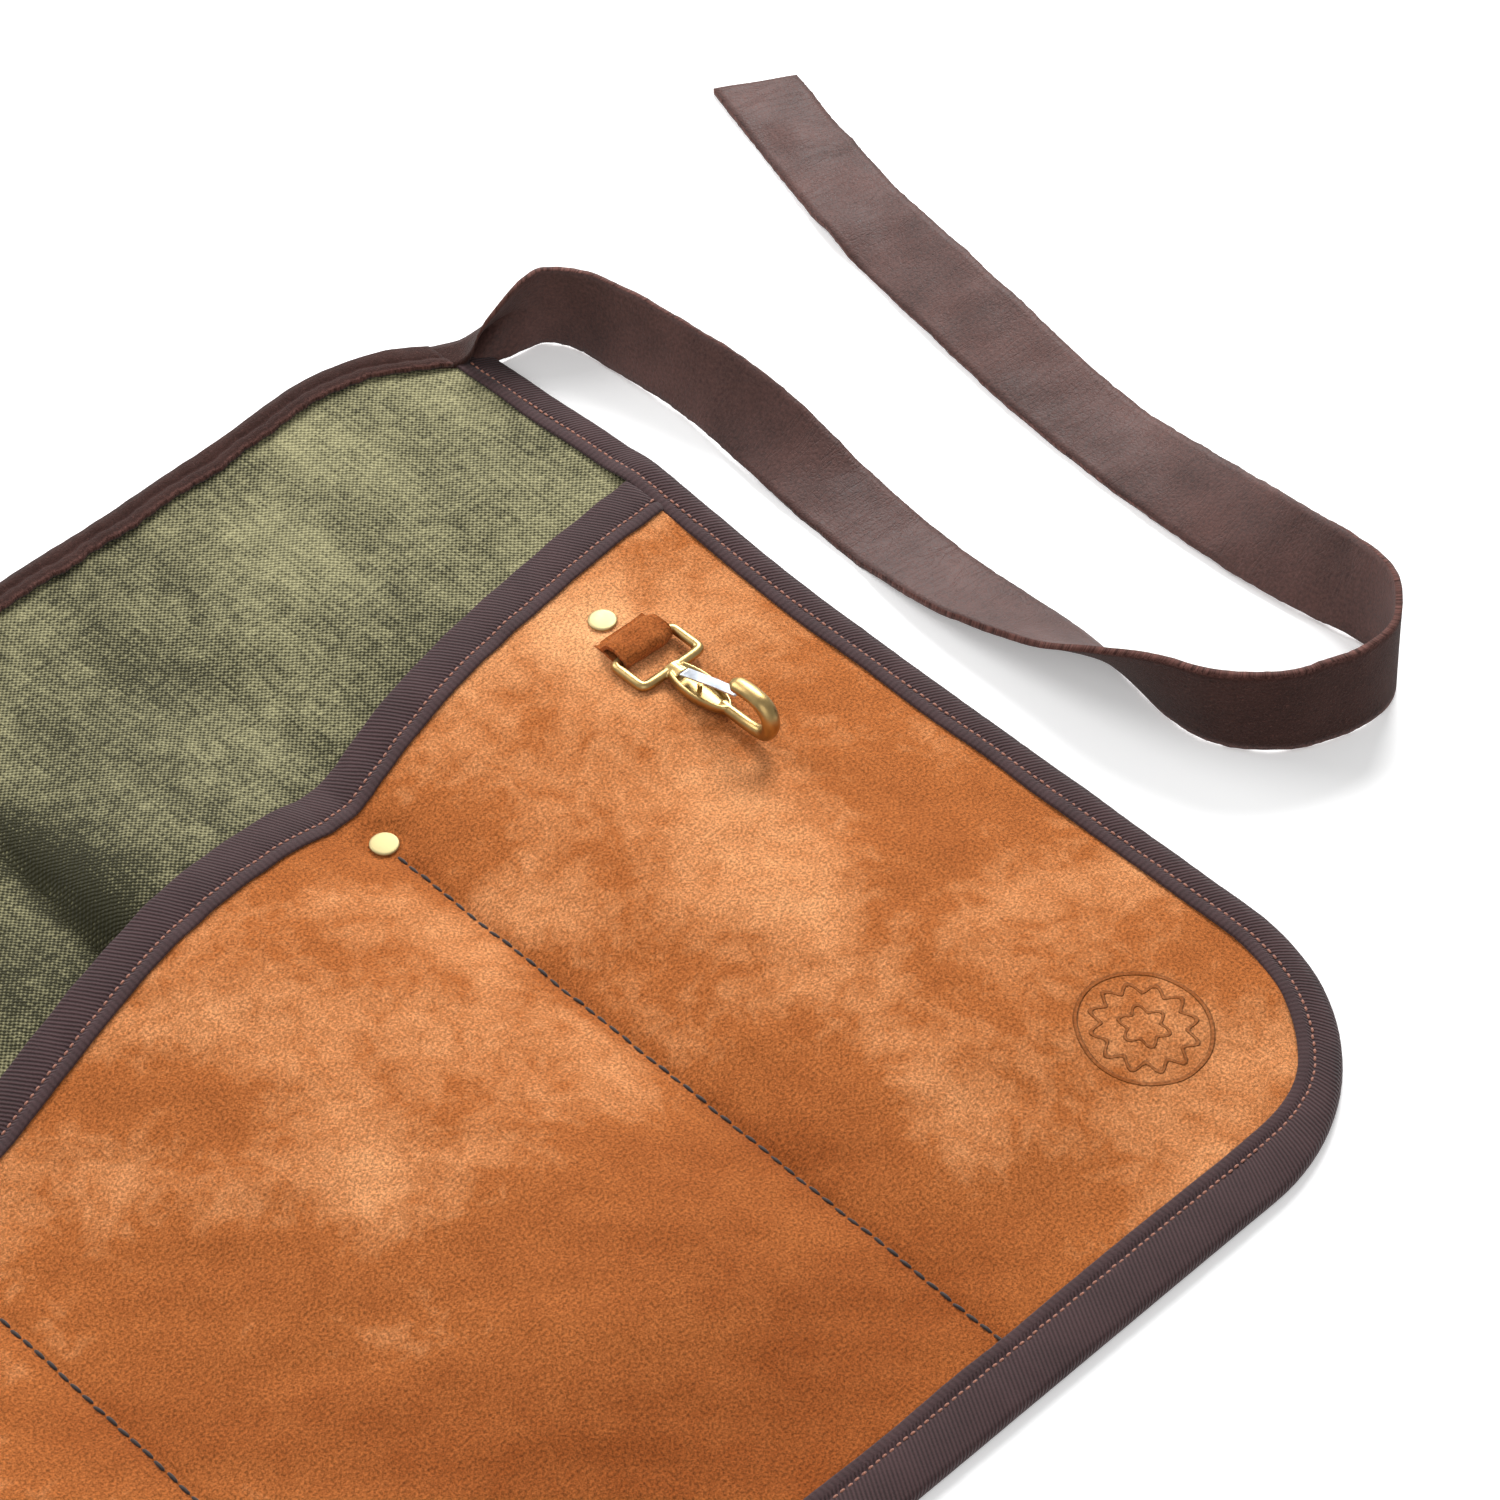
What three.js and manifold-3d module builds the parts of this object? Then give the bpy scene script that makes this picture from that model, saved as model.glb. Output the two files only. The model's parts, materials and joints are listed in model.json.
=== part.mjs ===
// Brush roll case, laid open: olive canvas, three suede pockets, bound edges, snap hook, leather tie.
// Millimetres. X runs along the case, +Y towards the flap's top edge, +Z up. Z = 0 is the table.
import * as THREE from 'three';
import { mergeVertices } from 'three/addons/utils/BufferGeometryUtils.js';
import Module from 'manifold-3d';

const wasm = await Module();
wasm.setup();

// ---- overall sizes ----
const MIDDLE_POCKET_W = 186.5;   // between the two divider seams
const END_POCKET_W = 163;        // divider seam to the case's outer edge
const POCKET_H = 327.5;          // bottom edge to the pocket mouth, at the right end
const MOUTH_FALL = 96.5;         // how much lower the mouth is at the left end
const FLAP_H = 105.3;            // pocket mouth to the flap's top edge, at the right end
const CORNER_R = 74;             // rounded bottom corners
const FOLD_OFFSET = 7.5;         // the roll folds this far to the left of each divider seam
const FOLD_GAP = 2.4;            // between the columns' cloth at a fold

// ---- outline and swell ----
const FLAP_FLARE = 3.5;          // the side edge leans out this far at the top
const FLARE_L = 162;             // length of side edge that leans out
const DROOP = 12;                // how far the top edge droops at DROOP_L from where it starts
const DROOP_L = 46;
const DROOP_START = 56;          // the droop starts this far from the corner
const MOUTH_WAVE = 5;            // how far the mouth edge bows out between seams
const POCKET_RISE = 8;           // how far each pocket front stands off the canvas
const POCKET_FADE = 70;          // length over which the rise dies out towards the bottom
const POCKET_FLAT = 29;          // width along the bottom edge with no rise

// ---- cloth, tape and band ----
const CANVAS_T = 1.0;
const SUEDE_T = 1.0;
const TAPE_T = 0.4;
const LAYER_GAP = 0.3;
const POCKET_GAP = 1.0;          // canvas to suede at the seams, room for the mouth tape
const TAPE_WALL = 0.8;           // tape at its fold
const SIDE_TAPE_W = 12.5;
const BOTTOM_TAPE_W = 19;
const CORNER_TAPER = 53;         // length of bottom tape that narrows round the corner
const MOUTH_TAPE_W = 17;
const TAPE_END = 26;             // side tape stops this far below the top edge
const CLOTH_END = 22;            // the canvas corner is cut off this far below the top edge
const CLOTH_TOP_END = 11.5;      // and this far in from the side
const BAND_W = 10;               // leather band over the flap's top edge
const BAND_T = 1.6;
const BAND_END = 10.3;           // the band stops this far in from the side
const BAND_CLEAR = 0.4;          // cloth to the inside of the band

// ---- thread and rivets ----
const THREAD_W = 1.0;
const THREAD_H = 0.6;
const THREAD_WAIST = 0.6;        // share of the thread's size that is left between two stitches
const THREAD_LIFT = 0.2;         // thread and rivet caps over the suede
const STITCH_PITCH = 5;
const RIVET_D = 9;
const RIVET_H = 1.1;
const DIVIDER_RIVET = 28.8;      // divider rivets' middle to the mouth edge
const HOOK_RIVET = 35.5;         // hook rivet's middle to the mouth edge
const HOOK_RIVET_LIFT = 0.45;

// ---- snap hook and loop ----
const HOOK_FROM_EDGE = 59.5;     // hook's middle to the case's right edge
const HOOK_BELOW_MOUTH = 53.3;   // hook pivot to the mouth edge
const HOOK_CLEAR = 0.35;         // hook over the suede
const EYE_W = 27.2;              // outer width of the square eye
const EYE_L = 13;                // bar centre to bar centre
const BAR_R = 1.7;
const HOOK_REACH = 55;           // pivot to the centreline of the bend
const BEND_R = 7;
const NOSE_L = 9;                // bend centre to the nose's tip
const HOOK_ROD_R = 2.1;
const ROD_SWELL = 0.7;           // how much wider the rod is at the nose
const CUP_L = 24;
const CUP_NECK_W = 4.4;
const CUP_W = 9.2;
const CUP_H = 3.6;
const CUP_WALL = 1.25;
const LUG_R = 0.8;
const LUG_H = 2.4;
const TONGUE_W = 3.8;
const TONGUE_T = 0.7;
const TONGUE_LIFT = 2.3;         // the leaf's root over the pivot
const LOOP_W = 19;
const LOOP_T = 1.4;
const LOOP_TAIL = 10.5;          // pivot to the loop's stitched end
const LOOP_TAIL_T = 1.6;
const LOOP_PLAY = 0.12;          // bar to the loop

// ---- tie ----
const STRAP_W = 29;
const STRAP_T = 2.2;
const STRAP_CUT = 3;             // how far the end's slanted cut runs either way
const STRAP_CLEAR = 0.05;        // tie over the table

// ---- derived levels ----
const HW = MIDDLE_POCKET_W / 2 + END_POCKET_W;
const HD = (POCKET_H + FLAP_H) / 2;
const DIVIDER_X = MIDDLE_POCKET_W / 2;
const HOOK_X = HW - HOOK_FROM_EDGE;
const CANVAS_Z = TAPE_T + LAYER_GAP;
const CANVAS_TOP = CANVAS_Z + CANVAS_T;
const SUEDE_Z = CANVAS_TOP + POCKET_GAP;
const SUEDE_TOP = SUEDE_Z + SUEDE_T;
const EDGE_TOP = SUEDE_TOP + LAYER_GAP + TAPE_T;
const FLAP_TOP = CANVAS_TOP + LAYER_GAP + TAPE_T;
const CLOTH_INSET = TAPE_WALL + LAYER_GAP;
const FOLDS = [DIVIDER_X - FOLD_OFFSET, -DIVIDER_X - FOLD_OFFSET];
const COLUMNS = [
  { n: 1, lo: FOLDS[0] + FOLD_GAP / 2, hi: HW },
  { n: 2, lo: FOLDS[1] + FOLD_GAP / 2, hi: FOLDS[0] - FOLD_GAP / 2 },
  { n: 3, lo: -HW, hi: FOLDS[1] - FOLD_GAP / 2 },
];

// ---- small maths ----
const clamp = (v, lo, hi) => Math.min(hi, Math.max(lo, v));
const mix = (a, b, t) => a + (b - a) * t;

function smooth(v) {
  const t = clamp(v, 0, 1);
  return t * t * (3 - 2 * t);
}

// ---- outline of the case: side edge at y, top edge at x, both mirrored ----
function sideX(y) {
  return HW + FLAP_FLARE * smooth((y - HD + FLARE_L) / FLARE_L);
}

function topY(x) {
  return HD - DROOP * Math.max(0, (Math.abs(x) - HW + DROOP_START) / DROOP_L) ** 2;
}

// ---- swell of the pocket fronts: one arch a pocket, 0 at its two seams ----
function pocketSpan(x) {
  if (x > FOLDS[0]) return [DIVIDER_X, HW - SIDE_TAPE_W];
  if (x > FOLDS[1]) return [-DIVIDER_X, FOLDS[0]];
  return [-HW + SIDE_TAPE_W, FOLDS[1]];
}

function pocketArch(x) {
  const [a, b] = pocketSpan(x);
  const t = clamp((x - a) / (b - a), 0, 1);
  const fullness = 0.75;
  const easeIn = 5;
  return Math.sin(Math.PI * t) ** fullness * smooth(t * easeIn) * smooth((1 - t) * easeIn);
}

function rise(x, y) {
  return POCKET_RISE * pocketArch(x) * smooth((y + HD - POCKET_FLAT) / POCKET_FADE);
}

// height in y of the pockets' mouth edge
function mouthY(x) {
  const slant = MOUTH_FALL * (HW - x) / (2 * HW);
  return -HD + POCKET_H - slant + MOUTH_WAVE * pocketArch(x);
}

// bottom edge of the cloth at x, inside the folded tape
function clothBottomY(x) {
  const over = Math.max(0, Math.abs(x) - HW + CORNER_R);
  const r = CORNER_R - CLOTH_INSET;
  return -HD + CORNER_R - Math.sqrt(Math.max(0, r * r - over * over));
}

// ---- mesh helpers ----
const group = new THREE.Group();
group.name = 'brush_roll_case';

const LOOKS = {
  canvas: { color: 0x6f7450, roughness: 0.95, metalness: 0 },
  suede: { color: 0xb9743f, roughness: 0.95, metalness: 0 },
  tape: { color: 0x3b2c2e, roughness: 0.85, metalness: 0 },
  leather: { color: 0x4d3834, roughness: 0.8, metalness: 0 },
  thread: { color: 0x2a1a15, roughness: 0.8, metalness: 0 },
  brass: { color: 0xc9a86a, roughness: 0.35, metalness: 1 },
  steel: { color: 0xb8bec8, roughness: 0.3, metalness: 1 },
};

function add(name, geometry, look) {
  const mesh = new THREE.Mesh(geometry, new THREE.MeshStandardMaterial(LOOKS[look]));
  mesh.name = name;
  group.add(mesh);
}

// one closed mesh with shared corners, without normals or uv
function clean(geometry) {
  const g = geometry.clone();
  g.deleteAttribute('normal');
  g.deleteAttribute('uv');
  const merged = mergeVertices(g, 1e-4);
  merged.computeVertexNormals();
  return merged;
}

function signedVolume(geometry) {
  const p = geometry.attributes.position;
  const idx = geometry.index.array;
  const [a, b, c] = [new THREE.Vector3(), new THREE.Vector3(), new THREE.Vector3()];
  let v = 0;
  for (let i = 0; i < idx.length; i += 3) {
    a.fromBufferAttribute(p, idx[i]);
    b.fromBufferAttribute(p, idx[i + 1]);
    c.fromBufferAttribute(p, idx[i + 2]);
    v += a.dot(b.cross(c));
  }
  return v;
}

// turns the faces round if they point in
function outward(geometry) {
  if (signedVolume(geometry) < 0) {
    const idx = geometry.index.array;
    for (let i = 0; i < idx.length; i += 3) [idx[i], idx[i + 1]] = [idx[i + 1], idx[i]];
  }
  geometry.computeVertexNormals();
  return geometry;
}

// moves every corner of a closed shape through map(x, y, z)
function bend(geometry, map) {
  const g = geometry.clone();
  const p = g.attributes.position;
  for (let i = 0; i < p.count; i += 1) {
    const q = map(p.getX(i), p.getY(i), p.getZ(i));
    p.setXYZ(i, q[0], q[1], q[2]);
  }
  return outward(clean(g));
}

function solid(geometry) {
  const g = clean(geometry);
  return new wasm.Manifold(new wasm.Mesh({
    numProp: 3,
    vertProperties: new Float32Array(g.attributes.position.array),
    triVerts: new Uint32Array(g.index.array),
  }));
}

function fromSolid(s) {
  const mesh = s.getMesh();
  const n = mesh.vertProperties.length / mesh.numProp;
  const at = new Float32Array(n * 3);
  for (let i = 0; i < n; i += 1) {
    for (let k = 0; k < 3; k += 1) at[3 * i + k] = mesh.vertProperties[i * mesh.numProp + k];
  }
  const g = new THREE.BufferGeometry();
  g.setAttribute('position', new THREE.BufferAttribute(at, 3));
  g.setIndex(new THREE.BufferAttribute(new Uint32Array(mesh.triVerts), 1));
  return clean(g);
}

function shapeOf(points) {
  const s = new THREE.Shape();
  s.moveTo(points[0][0], points[0][1]);
  points.slice(1).forEach((q) => s.lineTo(q[0], q[1]));
  s.closePath();
  return s;
}

function extrude(shape, depth, steps) {
  return new THREE.ExtrudeGeometry(shape, { depth, steps, bevelEnabled: false });
}

// a tape folded over an edge: u runs in from the fold, v is the height; legs are the tape's two sides
function foldedSection(width, wall, legUnder, legOver, top) {
  return shapeOf([
    [0, 0], [width, 0], [width, legUnder], [wall, legUnder],
    [wall, top - legOver], [width, top - legOver], [width, top], [0, top],
  ]);
}

// ---- canvas panels ----
function endOutline(lo) {
  const steps = 10;
  const inset = CLOTH_INSET;
  const cornerY = -HD + CORNER_R;
  const topUnderBand = (x) => topY(x) - BAND_T - BAND_CLEAR;
  const pts = [[lo, -HD + inset]];
  for (let i = 0; i <= steps; i += 1) {
    const a = (Math.PI / 2) * (i / steps - 1);
    const r = CORNER_R - inset;
    pts.push([HW - CORNER_R + r * Math.cos(a), cornerY + r * Math.sin(a)]);
  }
  for (let i = 1; i <= steps; i += 1) {
    const y = mix(cornerY, HD - CLOTH_END, i / steps);
    pts.push([sideX(y) - inset, y]);
  }
  for (let i = 0; i <= steps; i += 1) {
    const x = mix(HW - CLOTH_TOP_END, lo, i / steps);
    pts.push([x, topUnderBand(x)]);
  }
  return pts;
}

function clothOutline(c) {
  if (c.n === 1) return endOutline(c.lo);
  if (c.n === 3) return endOutline(-c.hi).map((q) => [-q[0], q[1]]).reverse();
  const top = topY(0) - BAND_T - BAND_CLEAR;
  const bottom = -HD + CLOTH_INSET;
  return [[c.lo, bottom], [c.hi, bottom], [c.hi, top], [c.lo, top]];
}

COLUMNS.forEach((c) => {
  const g = extrude(shapeOf(clothOutline(c)), CANVAS_T, 1);
  g.translate(0, 0, CANVAS_Z);
  add(`canvas_panel_${c.n}`, clean(g), 'canvas');
});

// ---- suede pocket fronts: a sheet arched over the canvas ----
COLUMNS.forEach((c) => {
  const inset = 2 * CLOTH_INSET;
  const x0 = c.n === 3 ? c.lo + inset : c.lo;
  const x1 = c.n === 1 ? c.hi - inset : c.hi;
  const g = new THREE.BoxGeometry(1, 1, 1, 26, 12, 1);
  add(`suede_pocket_${c.n}`, bend(g, (a, b, h) => {
    const x = mix(x0, x1, a + 0.5);
    const y = mix(clothBottomY(x), mouthY(x) - CLOTH_INSET, b + 0.5);
    return [x, y, SUEDE_Z + rise(x, y) + (h > 0 ? SUEDE_T : 0)];
  }), 'suede');
});

// ---- folded tape over the pocket mouths ----
COLUMNS.forEach((c) => {
  const x0 = c.n === 3 ? -HW + SIDE_TAPE_W + LAYER_GAP : c.lo + LAYER_GAP;
  const x1 = c.n === 1 ? HW - SIDE_TAPE_W - LAYER_GAP : c.hi - LAYER_GAP;
  const under = TAPE_T + LAYER_GAP;
  const section = foldedSection(MOUTH_TAPE_W, TAPE_WALL, TAPE_T, TAPE_T, SUEDE_T + 2 * under);
  add(`mouth_tape_${c.n}`, bend(extrude(section, 1, 24), (u, v, s) => {
    const x = mix(x1, x0, s);
    const y = mouthY(x) - u;
    return [x, y, SUEDE_Z - under + v + rise(x, y)];
  }), 'tape');
});

// ---- folded tape along the bottom: a straight run, then the rounded corner on the end columns ----
COLUMNS.forEach((c) => {
  const isEnd = c.n !== 2;
  const sign = c.n === 3 ? -1 : 1;
  const start = c.n === 3 ? -c.hi : c.lo;
  const straight = isEnd ? HW - CORNER_R - start : c.hi - c.lo;
  const total = straight + (isEnd ? CORNER_R * Math.PI / 2 : 0);
  const section = foldedSection(BOTTOM_TAPE_W, TAPE_WALL, TAPE_T, TAPE_T, EDGE_TOP);
  add(`bottom_tape_${c.n}`, bend(extrude(section, 1, isEnd ? 24 : 4), (u, v, s) => {
    const round = total * s - straight;
    if (round <= 0) return [sign * (start + total * s), -HD + u, v];
    const width = mix(BOTTOM_TAPE_W, SIDE_TAPE_W, smooth(round / CORNER_TAPER));
    const inward = u > BOTTOM_TAPE_W / 2 ? width : u;
    const r = CORNER_R - inward;
    const a = -Math.PI / 2 + round / CORNER_R;
    return [sign * (HW - CORNER_R + r * Math.cos(a)), -HD + CORNER_R + r * Math.sin(a), v];
  }), 'tape');
});

// ---- folded tape up the sides, by the pockets and by the flap ----
[1, 3].forEach((n) => {
  const sign = n === 3 ? -1 : 1;
  const mouth = mouthY(sign * HW);
  const runs = [
    { name: `side_tape_${n}`, from: -HD + CORNER_R + LAYER_GAP, to: mouth, top: EDGE_TOP },
    { name: `flap_tape_${n}`, from: mouth + LAYER_GAP, to: HD - TAPE_END, top: FLAP_TOP },
  ];
  runs.forEach((run) => {
    const section = foldedSection(SIDE_TAPE_W, TAPE_WALL, TAPE_T, TAPE_T, run.top);
    add(run.name, bend(extrude(section, 1, 8), (u, v, s) => {
      const y = mix(run.from, run.to, s);
      return [sign * (sideX(y) - u), y, v];
    }), 'tape');
  });
});

// ---- leather band folded over the flap's top edge ----
COLUMNS.forEach((c) => {
  const x0 = c.n === 3 ? c.lo + BAND_END : c.lo;
  const x1 = c.n === 1 ? c.hi - BAND_END : c.hi;
  const section = foldedSection(BAND_W, BAND_T, TAPE_T, BAND_T, CANVAS_TOP + LAYER_GAP + BAND_T);
  add(`leather_band_${c.n}`, bend(extrude(section, 1, c.n === 2 ? 4 : 12), (u, v, s) => {
    const x = mix(x1, x0, s);
    return [x, topY(x) - u, v];
  }), 'leather');
});

// ---- divider stitching: a thread with a waist between every two stitches ----
[[1, DIVIDER_X], [2, -DIVIDER_X]].forEach(([n, x]) => {
  const top = mouthY(x) - DIVIDER_RIVET - RIVET_D / 2 - THREAD_W;
  const bottom = -HD + BOTTOM_TAPE_W + LAYER_GAP;
  const halves = 2 * Math.round((top - bottom) / STITCH_PITCH);
  add(`divider_stitch_${n}`, bend(new THREE.BoxGeometry(1, 1, 1, 1, halves, 1), (a, b, h) => {
    const waist = Math.round((b + 0.5) * halves) % 2 === 0 ? THREAD_WAIST : 1;
    const z = SUEDE_TOP + THREAD_LIFT + (h + 0.5) * THREAD_H * waist;
    return [x + a * THREAD_W * waist, mix(bottom, top, b + 0.5), z];
  }), 'thread');
});

// ---- rivets: a flat cap with a rounded rim on the suede, and a thin back under the canvas ----
function rivet(name, x, y, z) {
  const r = RIVET_D / 2;
  const profile = [[0, 0], [r, 0], [r, 0.4 * RIVET_H], [0.84 * r, 0.8 * RIVET_H], [0.5 * r, RIVET_H], [0, RIVET_H]];
  const cap = new THREE.LatheGeometry(profile.map((q) => new THREE.Vector2(q[0], q[1])), 28);
  cap.rotateX(Math.PI / 2);
  cap.translate(x, y, z);
  add(name, clean(cap), 'brass');
  const back = new THREE.CylinderGeometry(r, r, TAPE_T, 28);
  back.rotateX(Math.PI / 2);
  back.translate(x, y, TAPE_T / 2);
  add(`${name}_back`, clean(back), 'brass');
}

const HOOK_MOUTH = mouthY(HOOK_X);
rivet('rivet_hook', HOOK_X, HOOK_MOUTH - HOOK_RIVET, SUEDE_TOP + rise(HOOK_X, 0) + HOOK_RIVET_LIFT);
rivet('rivet_divider_1', DIVIDER_X, mouthY(DIVIDER_X) - DIVIDER_RIVET, SUEDE_TOP + THREAD_LIFT);
rivet('rivet_divider_2', -DIVIDER_X, mouthY(-DIVIDER_X) - DIVIDER_RIVET, SUEDE_TOP + THREAD_LIFT);

// ---- snap hook: x runs across it, s from the pivot towards -Y, h is the height over the pivot ----
const PIVOT_Y = HOOK_MOUTH - HOOK_BELOW_MOUTH;
const PIVOT_Z = SUEDE_TOP + rise(HOOK_X - EYE_W / 2, PIVOT_Y) + BAR_R + HOOK_CLEAR;
const place = (x, s, h) => [HOOK_X + x, PIVOT_Y - s, PIVOT_Z + h];

// a capped rod along a curve of (x, s, h); radius(t) gives its two half widths
function rodAlong(curve, radius, steps, sides) {
  return bend(new THREE.CylinderGeometry(1, 1, 1, sides, steps), (a, b, c) => {
    const t = b + 0.5;
    const at = curve.getPoint(t);
    const along = curve.getTangent(t);
    const across = Math.abs(along.x) > 0.9 ? new THREE.Vector3(0, 1, 0) : new THREE.Vector3(1, 0, 0);
    const over = new THREE.Vector3().crossVectors(across, along).normalize();
    across.crossVectors(along, over).normalize();
    const [ra, rc] = radius(t);
    at.addScaledVector(across, a * ra).addScaledVector(over, c * rc);
    return place(at.x, at.y, at.z);
  });
}

function bar(x0, s0, x1, s1) {
  const line = new THREE.LineCurve3(new THREE.Vector3(x0, s0, 0), new THREE.Vector3(x1, s1, 0));
  return rodAlong(line, () => [BAR_R, BAR_R], 1, 14);
}

function ball(x, s) {
  const g = new THREE.SphereGeometry(BAR_R, 14, 10);
  g.translate(...place(x, s, 0));
  return g;
}

// square eye: four bars with round corners
const eyeHalf = EYE_W / 2 - BAR_R;
const eyeCorners = [[-eyeHalf, 0], [eyeHalf, 0], [eyeHalf, EYE_L], [-eyeHalf, EYE_L]];
const eyeParts = eyeCorners.flatMap((q, i) => {
  const next = eyeCorners[(i + 1) % 4];
  return [solid(bar(q[0], q[1], next[0], next[1])), solid(ball(q[0], q[1]))];
});
let hook = eyeParts.reduce((whole, piece) => whole.add(piece));

// cup: a lens seen from above, open on top
const CUP_START = EYE_L - LAYER_GAP;
const CUP_END = CUP_START + CUP_L;
const cupHalf = (t) => mix(CUP_NECK_W, CUP_W, Math.sin(Math.PI * mix(0.1, 0.96, t)) ** 0.8) / 2;
const cup = bend(new THREE.BoxGeometry(1, 1, 1, 4, 14, 3), (a, b, h) => {
  const t = b + 0.5;
  const belly = h < 0 ? 1 - 0.3 * (2 * Math.abs(h)) ** 3 : 1;
  return place(2 * a * cupHalf(t) * belly, mix(CUP_START, CUP_END, t), h * CUP_H);
});
const HOLLOW_START = CUP_START + 4;
const HOLLOW_END = CUP_END - 3;
const HOLLOW_FLOOR = -CUP_H / 4;
const hollow = bend(new THREE.BoxGeometry(1, 1, 1, 4, 12, 1), (a, b, h) => {
  const t = b + 0.5;
  const lens = (cupHalf(mix(0.13, 0.83, t)) - CUP_WALL) * Math.sin(Math.PI * mix(0.16, 0.9, t));
  return place(2 * a * Math.max(LUG_R + 0.1, lens), mix(HOLLOW_START, HOLLOW_END, t), h > 0 ? CUP_H : HOLLOW_FLOOR);
});
hook = hook.add(solid(cup)).subtract(solid(hollow));

// rod from the cup round the bend to the nose
const bendS = HOOK_REACH - BEND_R;
const rodPath = [[CUP_END - 3, 0], [CUP_END + 3, 0], [bendS - 2, 0]];
[30, 60, 90, 120, 150].forEach((degrees) => {
  const a = THREE.MathUtils.degToRad(degrees);
  rodPath.push([bendS + BEND_R * Math.sin(a), BEND_R * (1 - Math.cos(a))]);
});
const NOSE_DROP = 0.8;
rodPath.push([bendS - 1, 2 * BEND_R], [bendS - NOSE_L / 2, 2 * BEND_R], [bendS - NOSE_L, 2 * BEND_R - NOSE_DROP]);
const rodCurve = new THREE.CatmullRomCurve3(rodPath.map((q) => new THREE.Vector3(0, q[0], q[1])));
const rodRadius = (t) => [HOOK_ROD_R + ROD_SWELL * smooth((t - 0.4) / 0.35), HOOK_ROD_R];
hook = hook.add(solid(rodAlong(rodCurve, rodRadius, 26, 12)));
add('snap_hook', fromSolid(hook), 'brass');

// lug that stands in the cup
const lug = new THREE.CylinderGeometry(LUG_R, LUG_R, LUG_H, 12);
lug.rotateX(Math.PI / 2);
lug.translate(...place(0, (CUP_START + CUP_END) / 2, HOLLOW_FLOOR + LAYER_GAP + LUG_H / 2));
add('hook_lug', clean(lug), 'brass');

// spring tongue: a leaf from the cup's head up to the nose
const TONGUE_START = CUP_START + 5.2;
const TONGUE_END = bendS - NOSE_L + 2.6;
const NOSE_UNDER = 2 * BEND_R - NOSE_DROP - HOOK_ROD_R - TONGUE_T;
add('spring_tongue', bend(new THREE.BoxGeometry(1, 1, 1, 2, 12, 1), (a, b, h) => {
  const t = b + 0.5;
  const bow = 0.5 * Math.sin(Math.PI * t);
  return place(a * TONGUE_W, mix(TONGUE_START, TONGUE_END, t), mix(TONGUE_LIFT, NOSE_UNDER, t) + bow + h * TONGUE_T);
}), 'steel');

// ---- suede loop that holds the eye's bar ----
const loopR = BAR_R + HOOK_CLEAR + LOOP_T;
const loopLow = -BAR_R - HOOK_CLEAR + 0.1;
const loopPoints = [[LOOP_TAIL, loopLow], [LOOP_TAIL, loopLow + LOOP_TAIL_T], [1.3 * loopR, 0.86 * loopR]];
for (let i = 0; i <= 14; i += 1) {
  const a = Math.PI * mix(0.36, 1.36, i / 14);
  loopPoints.push([loopR * Math.cos(a), Math.max(loopLow, loopR * Math.sin(a))]);
}
loopPoints.push([-1, loopLow]);
const loopShape = shapeOf(loopPoints);
const bore = new THREE.Path();
bore.absarc(0, 0, BAR_R + LOOP_PLAY, 0, Math.PI * 2, true);
loopShape.holes.push(bore);
const loop = extrude(loopShape, LOOP_W, 1);
add('hook_loop', bend(loop, (a, b, d) => [HOOK_X - LOOP_W / 2 + d, PIVOT_Y + a, PIVOT_Z + b]), 'suede');

// ---- leather tie: a flat ribbon that stands on one edge, turns over and comes back ----
// stations: offset from the flap's corner along X and Y, and the roll of the ribbon in degrees
const STRAP = [
  [-7.5, -8.5, 80], [-0.5, -13, 84], [6, -18.5, 88], [11, -24.5, 89], [16, -29.2, 88], [22.5, -33.6, 86],
  [28, -41, 82], [31, -52, 77], [33.5, -72, 71], [35, -91, 65], [35.8, -111, 50], [36.4, -130, 28],
  [36, -150, 10], [34.8, -177, 0], [33.2, -204, -10], [34, -223, -18], [36, -250, -33], [37, -268, -54],
  [39, -287, -78], [42, -301, -88], [49.5, -312.2, -94], [58.5, -320.2, -97], [71, -325.8, -99],
  [84, -329, -98], [96.2, -327.4, -94], [105.5, -319.8, -89], [110.7, -308.6, -75], [111.8, -294, -60],
  [111.6, -278, -49], [111.6, -261, -41], [113.6, -233, -25], [116.4, -199, -10], [119.6, -164, -12],
  [124.8, -130, -17], [131, -96, -15], [137.5, -65, -10], [148.5, -29, -3], [161.3, 12, 0],
];
const strapPoints = STRAP.map((q) => new THREE.Vector3(HW + q[0], HD + q[1], 0));
const strapLine = new THREE.CatmullRomCurve3(strapPoints, false, 'centripetal');
const strapTurns = STRAP.map((q, i) => new THREE.Vector3(i, q[2], 0));
const strapRoll = new THREE.CatmullRomCurve3(strapTurns, false, 'catmullrom', 0.5);
add('tie_strap', bend(new THREE.BoxGeometry(1, 1, 1, 2, 80, 1), (a, b, h) => {
  const t = b + 0.5;
  const at = strapLine.getPoint(t);
  const along = strapLine.getTangent(t);
  const roll = THREE.MathUtils.degToRad(strapRoll.getPoint(t).y);
  const [sin, cos] = [Math.sin(roll), Math.cos(roll)];
  const w = a * STRAP_W;
  const n = h * STRAP_T;
  const aside = w * cos - n * sin;
  const cut = b === 0.5 ? 2 * a * STRAP_CUT : 0;
  const middle = (STRAP_W * Math.abs(sin) + STRAP_T * Math.abs(cos)) / 2 + STRAP_CLEAR;
  return [at.x - along.y * aside + along.x * cut, at.y + along.x * aside + along.y * cut, middle + w * sin + n * cos];
}), 'leather');

export default group;
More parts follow.
